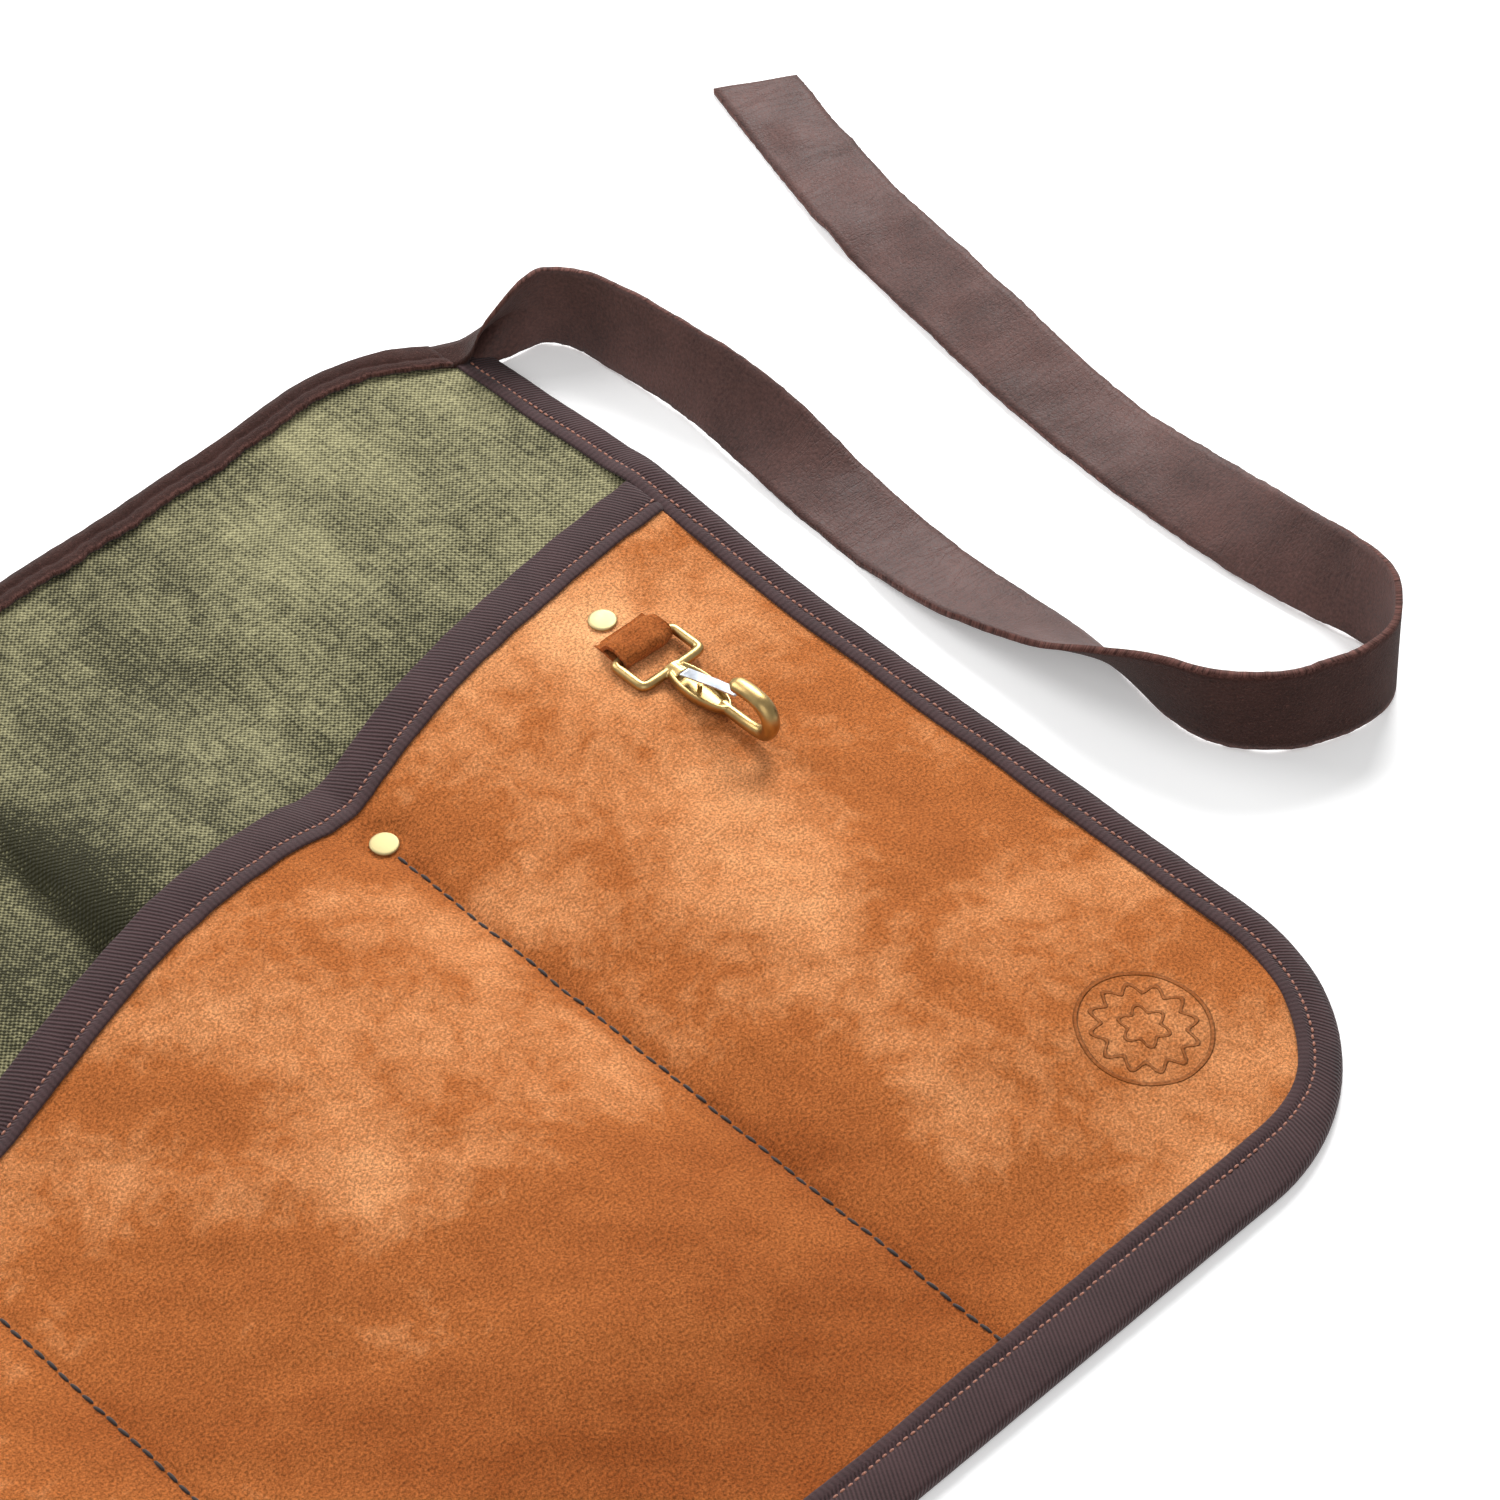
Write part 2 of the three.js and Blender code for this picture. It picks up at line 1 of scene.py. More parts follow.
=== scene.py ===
"""Brush roll case, laid open: cloths, tapes, stitching, tie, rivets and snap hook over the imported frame."""
import json
import math
import bpy
import numpy as np
from bpy.props import FloatProperty, FloatVectorProperty, PointerProperty
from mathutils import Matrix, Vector


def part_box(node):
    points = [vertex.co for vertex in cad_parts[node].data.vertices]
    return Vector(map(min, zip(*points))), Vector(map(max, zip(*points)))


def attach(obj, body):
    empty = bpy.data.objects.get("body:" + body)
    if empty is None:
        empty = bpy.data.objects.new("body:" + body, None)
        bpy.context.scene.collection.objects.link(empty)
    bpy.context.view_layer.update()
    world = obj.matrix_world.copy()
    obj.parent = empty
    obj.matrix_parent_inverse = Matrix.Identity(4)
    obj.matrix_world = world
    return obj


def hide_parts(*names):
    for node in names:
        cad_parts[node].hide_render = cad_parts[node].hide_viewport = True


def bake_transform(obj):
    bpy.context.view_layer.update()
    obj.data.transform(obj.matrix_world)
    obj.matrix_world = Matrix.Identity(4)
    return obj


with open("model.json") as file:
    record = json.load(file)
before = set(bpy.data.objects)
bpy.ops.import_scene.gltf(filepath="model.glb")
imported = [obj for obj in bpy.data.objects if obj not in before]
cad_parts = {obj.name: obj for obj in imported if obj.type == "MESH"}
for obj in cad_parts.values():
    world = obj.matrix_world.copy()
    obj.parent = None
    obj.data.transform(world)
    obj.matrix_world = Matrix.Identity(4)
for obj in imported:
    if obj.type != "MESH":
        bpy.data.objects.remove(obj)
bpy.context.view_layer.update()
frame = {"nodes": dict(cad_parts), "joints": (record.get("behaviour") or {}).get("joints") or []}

bl_info = {
    "name": "Brush roll case",
    "version": (1, 0, 0),
    "blender": (4, 5, 0),
    "location": "3D View > Sidebar > Roll Case",
    "description": "Builds an open brush roll case piece by piece around its packed frame",
    "category": "Object",
}

MM = 0.001


# ---------------------------------------------------------------- places read from the frame
def low(node):
    """Lowest corner of a node's box."""
    return np.array(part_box(node)[0])


def high(node):
    """Highest corner of a node's box."""
    return np.array(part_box(node)[1])


JOINTS = {j["name"]: j for j in frame["joints"]}
RIGHT = high("bottom_tape_1")[0]
BOTTOM = low("bottom_tape_2")[1]
TOP = high("leather_band_2")[1]
FOLD_1 = JOINTS["roll_1"]["pos_m"][0]
FOLD_2 = JOINTS["roll_2"]["pos_m"][0]
SEAM_1 = (low("divider_stitch_1")[0] + high("divider_stitch_1")[0]) / 2
SEAM_2 = (low("divider_stitch_2")[0] + high("divider_stitch_2")[0]) / 2
MIDDLE = SEAM_2     # the cloths are made in two pieces that meet here, under the seam
CANVAS_LOW = low("canvas_panel_2")[2]
CANVAS_TOP = high("canvas_panel_2")[2]
SUEDE_LOW = low("suede_pocket_2")[2]
EDGE_TOP = high("bottom_tape_2")[2]
FLAP_TAPE_TOP = high("flap_tape_1")[2]
SIDE_FLARE = high("flap_tape_1")[0] - RIGHT
BOTTOM_TAPE_W = high("bottom_tape_2")[1] - BOTTOM
BAND_W = TOP - low("leather_band_2")[1]
BAND_END = high("leather_band_1")[0]
PIVOT = np.array(JOINTS["hook_swing"]["pos_m"])


# ---------------------------------------------------------------- the user's sizes and colours
def length(name, text, value):
    """A length property in metres."""
    return FloatProperty(name=name, description=text, default=value, unit="LENGTH", precision=4)


def colour(name, text, value):
    """A colour property, linear red, green and blue."""
    return FloatVectorProperty(name=name, description=text, default=value, subtype="COLOR", size=3,
                               min=0, max=1)


class RollCaseSizes(bpy.types.PropertyGroup):
    mouth_height: length("Pocket height", "Bottom edge to the pocket mouth at the right end", 0.3275)
    mouth_fall: length("Mouth fall", "How much lower the mouth is at the left end", 0.0965)
    mouth_wave: length("Mouth wave", "How far the mouth bows out over each pocket's swell", 0.005)
    corner_radius: length("Corner radius", "Radius of the bottom corners", 0.074)
    side_tape: length("Side tape", "Width of the tape that shows at the sides", 0.0125)
    mouth_tape: length("Mouth tape", "Width of the tape over the pocket mouths", 0.017)
    suede_thickness: length("Suede thickness", "Thickness of the pocket fronts", 0.001)
    stitch_pitch: length("Stitch pitch", "Spacing of the stitches on the tapes", 0.0026)
    seam_pitch: length("Seam pitch", "Spacing of the thick stitches between pockets", 0.005)
    weave_pitch: length("Weave pitch", "Spacing of the canvas yarns", 0.00085)
    tie_width: length("Tie width", "Width of the leather tie", 0.029)
    tie_thickness: length("Tie thickness", "Thickness of the leather tie", 0.0022)
    rivet_diameter: length("Rivet diameter", "Diameter of the rivet caps", 0.009)
    rod_radius: length("Rod radius", "Radius of the snap hook's rod", 0.0021)


class RollCaseColours(bpy.types.PropertyGroup):
    # The light end of the canvas blend also carries a painted highlight, and its dark end painted shade.
    canvas: colour("Canvas", "Olive canvas", (0.085, 0.080, 0.034))
    canvas_light: colour("Canvas light", "Worn tops of the canvas yarns", (0.40, 0.37, 0.20))
    suede: colour("Suede", "Tan suede", (0.46, 0.150, 0.040))
    # suede_light also serves as painted highlight on the lit swells, and suede_dark as painted shade.
    suede_light: colour("Suede light", "Rubbed suede", (0.84, 0.43, 0.20))
    suede_dark: colour("Suede dark", "Suede with its nap laid down", (0.27, 0.070, 0.015))
    tape: colour("Tape", "Dark plum tape", (0.046, 0.023, 0.024))
    stitch: colour("Stitch", "Rust thread", (0.36, 0.15, 0.10))
    seam_thread: colour("Seam thread", "Dark thick thread", (0.018, 0.009, 0.006))
    grain: colour("Grain side", "Smooth side of the leather", (0.080, 0.036, 0.030))
    flesh: colour("Flesh side", "Rough side of the leather", (0.034, 0.0145, 0.0115))
    brass: colour("Brass", "Cast brass", (0.54, 0.37, 0.15))
    rivet: colour("Rivet", "Pale rivet caps", (0.52, 0.43, 0.22))
    steel: colour("Steel", "Spring steel", (0.74, 0.80, 0.88))


def sizes():
    """The user's sizes."""
    return bpy.context.scene.roll_case_sizes


def colours():
    """The user's colours."""
    return bpy.context.scene.roll_case_colours


# ---------------------------------------------------------------- sizes of the shapes
CORNER_DROOP = 12 * MM          # the top edge falls this far towards its ends
SWELLS = (8.6 * MM, 12.0 * MM, 9.5 * MM)        # height of the right, middle and left pocket's swell
FULL_SWELL = 9.5 * MM           # a swell this high bows the mouth by the whole mouth wave
SIDE_HUMP = 6.5 * MM            # the layers' lift at the sides, by the mouth
TOP_HUMP = 5.2 * MM             # and near the top corners
VALLEY_X = 10 * MM              # foot of the canvas's steep valley
VALLEY_LEAN = 0.05
STEEP_HILL = 8.5 * MM
LOW_HILL = 3 * MM
BROAD_HILL = 4.5 * MM
FINE_HILLS = 0.6 * MM
SEAM_DIP = 0.5 * MM             # the suede sinks this far at a seam, over SEAM_DIP_HALF
SEAM_DIP_HALF = 2.2 * MM
RIVET_DENT = 0.4 * MM
RIVET_FLAT = 10 * MM            # radius out to which the suede lies flatter round a rivet
RIVET_FADE = 5 * MM
RIVETS = (("rivet_hook", "column_1"), ("rivet_divider_1", "column_1"), ("rivet_divider_2", "column_2"))

STITCH_IN = 4.6 * MM            # the tapes' stitches lie this far in from the inner edge
STITCH_HALF = 0.85 * MM
STITCH_R = 0.42 * MM
SEAM_STITCH_R = 0.62 * MM
SEAM_STITCH_SHARE = 0.44        # half a seam stitch's length over the seam's pitch
EDGE_TAPE_T = 0.55 * MM
MOUTH_TAPE_T = 0.5 * MM
BAND_T = 1.3 * MM


# ---------------------------------------------------------------- small maths
def smooth(v):
    """Smoothstep: 3t^2 - 2t^3 of v held between 0 and 1."""
    t = np.clip(v, 0, 1)
    return t * t * (3 - 2 * t)


def waves(x, y, wavelength, seed, count=9):
    """Soft random field of about -1 to 1: a sum of count cosines with seeded headings, lengths and phases."""
    r = np.random.default_rng(seed)
    heading = r.uniform(0, 2 * np.pi, count)
    k = 2 * np.pi / (wavelength * r.uniform(0.7, 1.5, count))
    phase = r.uniform(0, 2 * np.pi, count)
    x, y = np.asarray(x)[..., None], np.asarray(y)[..., None]
    return np.cos(k * (x * np.cos(heading) + y * np.sin(heading)) + phase).sum(-1) / math.sqrt(count) * 0.8


def dome(x, a, b, peak, power=1.0):
    """A hump from a to b: sin(pi t^k)^power, where k puts the top at t = peak."""
    t = np.clip((x - a) / (b - a), 0, 1)
    return np.sin(np.pi * t ** (math.log(0.5) / math.log(peak))) ** power


def bell(x, y, cx, cy, rx, ry):
    """A round hump of height 1: exp(-((x-cx)/rx)^2 - ((y-cy)/ry)^2)."""
    return np.exp(-(((x - cx) / rx) ** 2) - ((y - cy) / ry) ** 2)


# ---------------------------------------------------------------- shapes shared by the pieces
def side_edge(y):
    """Outer edge of the case at height y: straight, leaning out a little beside the flap."""
    return RIGHT + SIDE_FLARE * smooth((y - 0.25 * TOP) / (0.75 * TOP))


def top_edge(x):
    """Top edge at x: straight, drooping as a square law near each end."""
    share = np.clip((np.abs(x) - 0.78 * RIGHT) / (0.18 * RIGHT), 0, 1.2)
    return TOP - CORNER_DROOP * share**2


def bottom_edge(x, inset):
    """Bottom edge at x, moved in by inset: straight, then the rounded corner."""
    r = sizes().corner_radius
    over = np.clip(np.abs(x) - (RIGHT - r), 0, r - inset)
    return BOTTOM + r - np.sqrt((r - inset) ** 2 - over**2)


def swell(x):
    """Share by which each pocket front swells at x: one skewed dome a pocket, 0 at the seams."""
    inner = RIGHT - sizes().side_tape
    right = dome(x, SEAM_1, inner, 0.45, 0.8)
    middle = dome(x, SEAM_2, SEAM_1, 0.64, 0.95)
    left = dome(x, -inner, SEAM_2, 0.5, 0.9)
    return SWELLS[0] * right + SWELLS[1] * middle + SWELLS[2] * left


def soft_swell(x):
    """The swell with its dips at the seams rounded: the mean of four places 6 mm apart."""
    return (swell(x - 9 * MM) + swell(x - 3 * MM) + swell(x + 3 * MM) + swell(x + 9 * MM)) / 4


def edge_lift(x, y):
    """Height of all the layers off the table: humps at the sides by the mouth and near the top corners."""
    ax = np.abs(x)
    side = SIDE_HUMP * np.exp(-(((y - 0.112) / 0.052) ** 2)) * smooth((ax - RIGHT + 0.075) / 0.075)
    top = TOP_HUMP * np.exp(-(((ax - 0.205) / 0.055) ** 2)) * smooth((y - TOP + 0.085) / 0.085)
    return side + top * smooth((RIGHT + 0.004 - ax) / 0.03)


def lift(x, y):
    """Height of the pocket front over its flat level: the swell, softer by the mouth, with slow waves."""
    near_mouth = smooth((y - mouth(x) + 0.036) / 0.022)
    s = swell(x) * (1 - near_mouth) + soft_swell(x) * near_mouth
    fade = smooth((y - BOTTOM - 0.023) / 0.075)
    slow = 1 + 0.06 * waves(x, y, 0.11, 3) + 0.04 * waves(x, y, 0.05, 4)
    return s * fade * slow + edge_lift(x, y)


def mouth(x):
    """Height in Y of the pockets' mouth edge: a slant with a small bow over each swell."""
    p = sizes()
    slant = p.mouth_height - p.mouth_fall * (RIGHT - x) / (2 * RIGHT)
    return BOTTOM + slant + p.mouth_wave * soft_swell(x) / FULL_SWELL


def canvas_hills(x, y):
    """How far the canvas stands up above the pockets: broad folds and a steep valley, held under the tape."""
    m = mouth(x)
    up = smooth((y - m + 0.035) / 0.035) * smooth((top_edge(x) - 0.008 - y) / 0.075)
    valley_x = VALLEY_X + VALLEY_LEAN * (y - m)
    right = dome(x, valley_x, SEAM_1 + 0.010, 0.26, 0.9)
    left = dome(x, SEAM_2 - 0.02, valley_x, 0.55, 1.0)
    far = dome(x, SEAM_1 + 0.004, RIGHT - 0.008, 0.45, 1.0)
    steep = STEEP_HILL * right * smooth((0.085 - (y - m)) / 0.085) + LOW_HILL * right
    fine = FINE_HILLS * up * waves(x, y, 0.045, 8)
    hills = np.maximum(up * (steep + BROAD_HILL * (left + far)) + fine, 0)
    below = np.minimum(y, m)
    room = lift(x, below) - edge_lift(x, below) + 0.014 * smooth((y - m + 0.002) / 0.020)
    return np.minimum(hills, np.maximum(room, 0)) + edge_lift(x, y)


def rivet_level(name):
    """Height of the suede under a rivet's cap, a little below the swell round it."""
    c = (low(name) + high(name)) / 2
    return SUEDE_LOW + sizes().suede_thickness + float(lift(c[0], c[1])) - RIVET_DENT


def suede_top(x, y):
    """Upper face of the suede: flat level, swell, seam grooves, fine unevenness and flatter at each rivet."""
    p = sizes()
    inner = smooth((RIGHT - p.side_tape - np.abs(x)) / 0.006) * smooth((y - BOTTOM - BOTTOM_TAPE_W) / 0.008)
    z = SUEDE_LOW + p.suede_thickness + lift(x, y)
    for seam in (SEAM_1, SEAM_2):
        z = z - SEAM_DIP * np.exp(-(((x - seam) / SEAM_DIP_HALF) ** 2))
    z = z + inner * (0.00022 * waves(x, y, 0.014, 11) + 0.00035 * waves(x, y, 0.034, 12))
    for name, _ in RIVETS:
        c = (low(name) + high(name)) / 2
        flat = smooth((RIVET_FLAT - np.hypot(x - c[0], y - c[1])) / RIVET_FADE)
        z = z + (rivet_level(name) - z) * flat
    return z


# ---------------------------------------------------------------- mesh makers
def grid_quads(rows, cols, wrap=False):
    """Quads of a grid of rows by cols points, row by row; wrap joins the last column to the first."""
    i = np.arange(rows - 1)[:, None]
    j = np.arange(cols if wrap else cols - 1)[None, :]
    k = (j + 1) % cols
    return np.stack([i * cols + j, (i + 1) * cols + j, (i + 1) * cols + k, i * cols + k], -1).reshape(-1, 4)


def signed_volume(verts, quads):
    """Volume inside the quads, each taken as two triangles; below 0 if they face in."""
    a, b, c, d = (verts[quads[:, n]] for n in range(4))
    return (np.einsum("ij,ij->i", a, np.cross(b, c)) + np.einsum("ij,ij->i", a, np.cross(c, d))).sum() / 6


def build(name, verts, quads, caps=(), flat=0, lay=None, materials=(), slots=None, extra=None):
    """A mesh object from points, quads and end caps, turned to face out, with its attributes and materials.

    lay holds (along, across, side) in metres for each point, which the materials read. The last flat quads
    and the caps keep sharp borders, so that two pieces that meet there show no line."""
    verts = np.asarray(verts, float).reshape(-1, 3)
    turn = signed_volume(verts, quads) < 0
    quads = quads[:, ::-1] if turn else quads
    faces = quads.tolist() + [list(c)[::-1] if turn else list(c) for c in caps]
    mesh = bpy.data.meshes.new(name)
    mesh.from_pydata(verts.tolist(), [], faces)
    round_faces = np.ones(len(faces), bool)
    round_faces[len(quads) - flat:] = False
    mesh.polygons.foreach_set("use_smooth", round_faces)
    if lay is not None:
        mesh.attributes.new("lay", "FLOAT_VECTOR", "POINT").data.foreach_set(
            "vector", np.asarray(lay, np.float32).reshape(-1))
    for key, values in (extra or {}).items():
        flat_values = np.asarray(values, np.float32).reshape(-1)
        mesh.attributes.new(key, "FLOAT", "POINT").data.foreach_set("value", flat_values)
    for m in materials:
        mesh.materials.append(m)
    if slots is not None:
        slots = np.concatenate([slots, np.zeros(len(caps), int)]).astype(np.int32)
        mesh.polygons.foreach_set("material_index", slots)
    mesh.update()
    piece = bpy.data.objects.new(name, mesh)
    bpy.context.scene.collection.objects.link(piece)
    return piece


def slab(name, top, under, lay, **kw):
    """A closed sheet: a grid of top points and one of under points, joined round their edges."""
    rows, cols = top.shape[:2]
    n = rows * cols
    upper = grid_quads(rows, cols)
    lower = grid_quads(rows, cols)[:, ::-1] + n
    r, c = np.arange(rows), np.arange(cols)
    ring = np.concatenate([c, (cols - 1) + cols * r[1:],
                           (rows - 1) * cols + c[::-1][1:], cols * r[::-1][1:-1]])
    nxt = np.roll(ring, -1)
    wall = np.stack([ring, nxt, nxt + n, ring + n], -1)
    wall = wall[:, ::-1] if plan_turn(top) > 0 else wall
    verts = np.concatenate([top.reshape(-1, 3), under.reshape(-1, 3)])
    both = np.concatenate([lay.reshape(-1, 3), lay.reshape(-1, 3)])
    quads = np.concatenate([upper, lower, wall])
    return build(name, verts, quads, flat=len(wall), lay=both, **kw)


def plan_turn(top):
    """Turn from the first cell's row side to its column side, seen from above: above 0 if anticlockwise."""
    a = top[1, 0] - top[0, 0]
    b = top[0, 1] - top[0, 0]
    return a[0] * b[1] - a[1] * b[0]


def swept(name, rings, lay, **kw):
    """A closed tube: one ring of points a row, joined round and along, with a cap at each end."""
    rows, cols = rings.shape[:2]
    quads = grid_quads(rows, cols, wrap=True)
    # the caps run the way the quads do, and build() turns them all if they face in
    first = list(range(cols))
    last = [(rows - 1) * cols + c for c in reversed(range(cols))]
    return build(name, rings, quads, caps=[first, last], lay=lay, **kw)


def frames_along(points):
    """Unit directions along a line of points, by central differences."""
    d = np.gradient(points, axis=0)
    return d / np.linalg.norm(d, axis=1, keepdims=True)


def distance_along(points):
    """Distance of each point from the first, along the line."""
    return np.concatenate([[0], np.cumsum(np.linalg.norm(np.diff(points, axis=0), axis=1))])


def spline(points, count, places=3):
    """Catmull-Rom line through the points, resampled to count points evenly along its first places."""
    p = np.asarray(points, float)
    ends = np.concatenate([2 * p[:1] - p[1:2], p, 2 * p[-1:] - p[-2:-1]])
    t = np.linspace(0, len(p) - 1, 40 * len(p))
    i = np.minimum(t.astype(int), len(p) - 2)
    u = (t - i)[:, None]
    a, b, c, d = (ends[i + n] for n in range(4))
    line = 0.5 * (2 * b + (c - a) * u + (2 * a - 5 * b + 4 * c - d) * u**2 + (3 * b - a - 3 * c + d) * u**3)
    s = distance_along(line[:, :places])
    at = np.linspace(0, s[-1], count)
    return np.stack([np.interp(at, s, line[:, k]) for k in range(p.shape[1])], 1)


def capsules(name, centres, along, normal, half, radius, **kw):
    """Many small stitches in one mesh: each is a capsule of 6 sides and 5 rings, flattened on the cloth.

    A ring at share t of the half length has radius r sqrt(1 - t^4), and the ends sag into the cloth. along is
    the stitch's heading, and normal the cloth's."""
    sides, shares = 6, np.array([-1.0, -0.75, 0.0, 0.75, 1.0])
    turn = np.linspace(0, 2 * np.pi, sides, endpoint=False)
    across = np.cross(normal, along)
    across /= np.linalg.norm(across, axis=1, keepdims=True)
    ring_r = radius * np.sqrt(np.clip(1 - np.abs(shares) ** 4, 0.02, 1))
    sag = -0.45 * radius * shares**2
    side = ring_r[:, None] * np.cos(turn)
    rise = 0.75 * ring_r[:, None] * np.sin(turn) + sag[:, None]
    pts = (centres[:, None, None, :] + (half * shares)[None, :, None, None] * along[:, None, None, :]
           + side[None, :, :, None] * across[:, None, None, :]
           + rise[None, :, :, None] * normal[:, None, None, :])
    n, per = len(centres), len(shares) * sides
    one = grid_quads(len(shares), sides, wrap=True)
    quads = (one[None] + (np.arange(n) * per)[:, None, None]).reshape(-1, 4)
    first = np.arange(sides)
    caps_a = first[None] + (np.arange(n) * per)[:, None]
    caps_b = first[::-1][None] + (np.arange(n) * per + per - sides)[:, None]
    lay = np.broadcast_to((half * shares)[None, :, None, None], (n, len(shares), sides, 1))
    lay = np.concatenate([lay, np.broadcast_to(turn[None, None, :, None] * radius, lay.shape), 0 * lay], -1)
    flip = signed_volume(pts.reshape(-1, 3), quads) > 0
    caps = caps_a.tolist() + caps_b.tolist()
    caps = [k[::-1] for k in caps] if flip else caps
    return build(name, pts, quads, caps=caps, lay=lay, **kw)


# ---------------------------------------------------------------- shader helpers
def put(tree, kind, inputs=None, **settings):
    """Adds a node, sets its settings, and fills or links its inputs."""
    node = tree.nodes.new(kind)
    for key, value in settings.items():
        setattr(node, key, value)
    for key, value in (inputs or {}).items():
        if isinstance(value, bpy.types.NodeSocket):
            tree.links.new(value, node.inputs[key])
        else:
            node.inputs[key].default_value = value
    return node


def rgba(c, gain=1.0):
    """A colour times gain, held at 1, with full alpha."""
    return (min(1, c[0] * gain), min(1, c[1] * gain), min(1, c[2] * gain), 1)


def start(name, roughness, metallic=0.0, sheen=0.0, sheen_roughness=0.5, specular=0.5):
    """A material with a Principled shader and its plain numbers set on the shader's own sockets."""
    material = bpy.data.materials.new(name)
    material.use_nodes = True
    tree = material.node_tree
    shader = tree.nodes["Principled BSDF"]
    shader.inputs["Roughness"].default_value = roughness
    shader.inputs["Metallic"].default_value = metallic
    shader.inputs["Sheen Weight"].default_value = sheen
    shader.inputs["Sheen Roughness"].default_value = sheen_roughness
    shader.inputs["Specular IOR Level"].default_value = specular
    return material, tree, shader


def lay_vector(tree):
    """Place on the flat cloth, from the piece's own attribute."""
    return put(tree, "ShaderNodeAttribute", attribute_name="lay").outputs["Vector"]


def stretched(tree, vector, scale, turn=0.0):
    """A vector scaled along its axes and turned about Z."""
    inputs = {"Vector": vector, "Scale": scale, "Rotation": (0, 0, turn)}
    return put(tree, "ShaderNodeMapping", inputs).outputs["Vector"]


def noise(tree, vector, scale, detail=3.0, roughness=0.55, distortion=0.0):
    """Cloudy noise of about 0.3 to 0.7, with scale clouds a metre."""
    inputs = {"Vector": vector, "Scale": scale, "Detail": detail, "Roughness": roughness,
              "Distortion": distortion}
    return put(tree, "ShaderNodeTexNoise", inputs).outputs["Fac"]


def maths(tree, kind, a, b=0.0, c=0.0):
    """One Math node; each input is a number or another node's output."""
    node = put(tree, "ShaderNodeMath", operation=kind)
    for socket, value in zip(node.inputs, (a, b, c)):
        if isinstance(value, bpy.types.NodeSocket):
            tree.links.new(value, socket)
        else:
            socket.default_value = value
    return node.outputs[0]


def between(tree, value, lo, hi, out_lo=0.0, out_hi=1.0):
    """Maps value from lo..hi to out_lo..out_hi, held at the ends."""
    return put(tree, "ShaderNodeMapRange", {"Value": value, "From Min": lo, "From Max": hi,
                                            "To Min": out_lo, "To Max": out_hi}).outputs["Result"]


def blend_colour(tree, share, a, b, kind="MIX"):
    """Colour a turned into b by share, or combined with it as kind says."""
    node = put(tree, "ShaderNodeMix", data_type="RGBA", blend_type=kind)
    for key, value in ((0, share), (6, a), (7, b)):
        if isinstance(value, bpy.types.NodeSocket):
            tree.links.new(value, node.inputs[key])
        else:
            node.inputs[key].default_value = value
    return node.outputs[2]


def bump(tree, height, strength, distance, normal=None):
    """A normal tipped by height, distance metres for each unit, on top of another normal if one is given."""
    inputs = {"Height": height, "Strength": strength, "Distance": distance}
    if normal is not None:
        inputs["Normal"] = normal
    return put(tree, "ShaderNodeBump", inputs).outputs["Normal"]


def finish_material(tree, shader, base, normal=None, rough=None):
    """Links the colour, and the normal and roughness if given, to the shader."""
    tree.links.new(base, shader.inputs["Base Color"])
    if normal is not None:
        tree.links.new(normal, shader.inputs["Normal"])
    if rough is not None:
        tree.links.new(rough, shader.inputs["Roughness"])


def once(maker):
    """Makes a material the first time it is asked for, and hands the same one out after that."""
    made = {}

    def get():
        if "m" not in made:
            made["m"] = maker()
        return made["m"]
    return get


@once
def suede_material():
    """Suede: slow rubbed patches, a short mottled nap and a stamped ring ornament near the corner, with
    painted highlights and painted shade from the piece's attribute.
    """
    c = colours()
    material, tree, shader = start("suede", 0.92, sheen=0.22, sheen_roughness=0.45, specular=0.08)
    shader.inputs["Sheen Tint"].default_value = rgba(c.suede_light)
    at = lay_vector(tree)
    slow = noise(tree, at, 18, 5, 0.62, 0.6)
    middle = noise(tree, at, 110, 5, 0.7, 0.5)
    nap = noise(tree, at, 1150, 4, 0.8)
    fine = noise(tree, at, 2400, 2, 0.7)
    # The attribute read here brings rubbed patches, and also painted highlights on the lit swells and painted
    # shade towards the bottom left and along the seams.
    wear = put(tree, "ShaderNodeAttribute", attribute_name="wear").outputs["Fac"]
    tone = maths(tree, "ADD", maths(tree, "MULTIPLY", slow, 0.6), maths(tree, "MULTIPLY", middle, 0.4))
    tone = maths(tree, "ADD", tone, maths(tree, "MULTIPLY", wear, 0.20))
    share = between(tree, tone, 0.18, 0.74)
    base = blend_colour(tree, share, rgba(c.suede_dark), rgba(c.suede))
    base = blend_colour(tree, between(tree, tone, 0.50, 0.95, 0, 0.85), base, rgba(c.suede_light))
    speck = between(tree, nap, 0.38, 0.62, 0.48, 1.56)
    base = blend_colour(tree, 1.0, base, put(tree, "ShaderNodeCombineColor", {
        "Red": speck, "Green": speck, "Blue": speck}).outputs["Color"], "MULTIPLY")
    stamp = stamp_height(tree, at)
    base = blend_colour(tree, maths(tree, "MULTIPLY", stamp, 0.55), base, rgba(c.suede_dark, 0.75))
    height = maths(tree, "ADD", maths(tree, "MULTIPLY", nap, 0.6), maths(tree, "MULTIPLY", fine, 0.4))
    normal = bump(tree, height, 0.8, 0.0007)
    normal = bump(tree, maths(tree, "MULTIPLY", stamp, -1.0), 1.0, 0.0010, normal)
    finish_material(tree, shader, base, normal)
    return material


STAMP_PLACE = (0.1984, -0.1520, 0)
STAMP_RING_R = 19.5 * MM
PETALS, PETAL_R, PETAL_DEPTH = 12, 14 * MM, 1.6 * MM
CORE_PETALS, CORE_R, CORE_DEPTH = 6, 6.2 * MM, 1.2 * MM


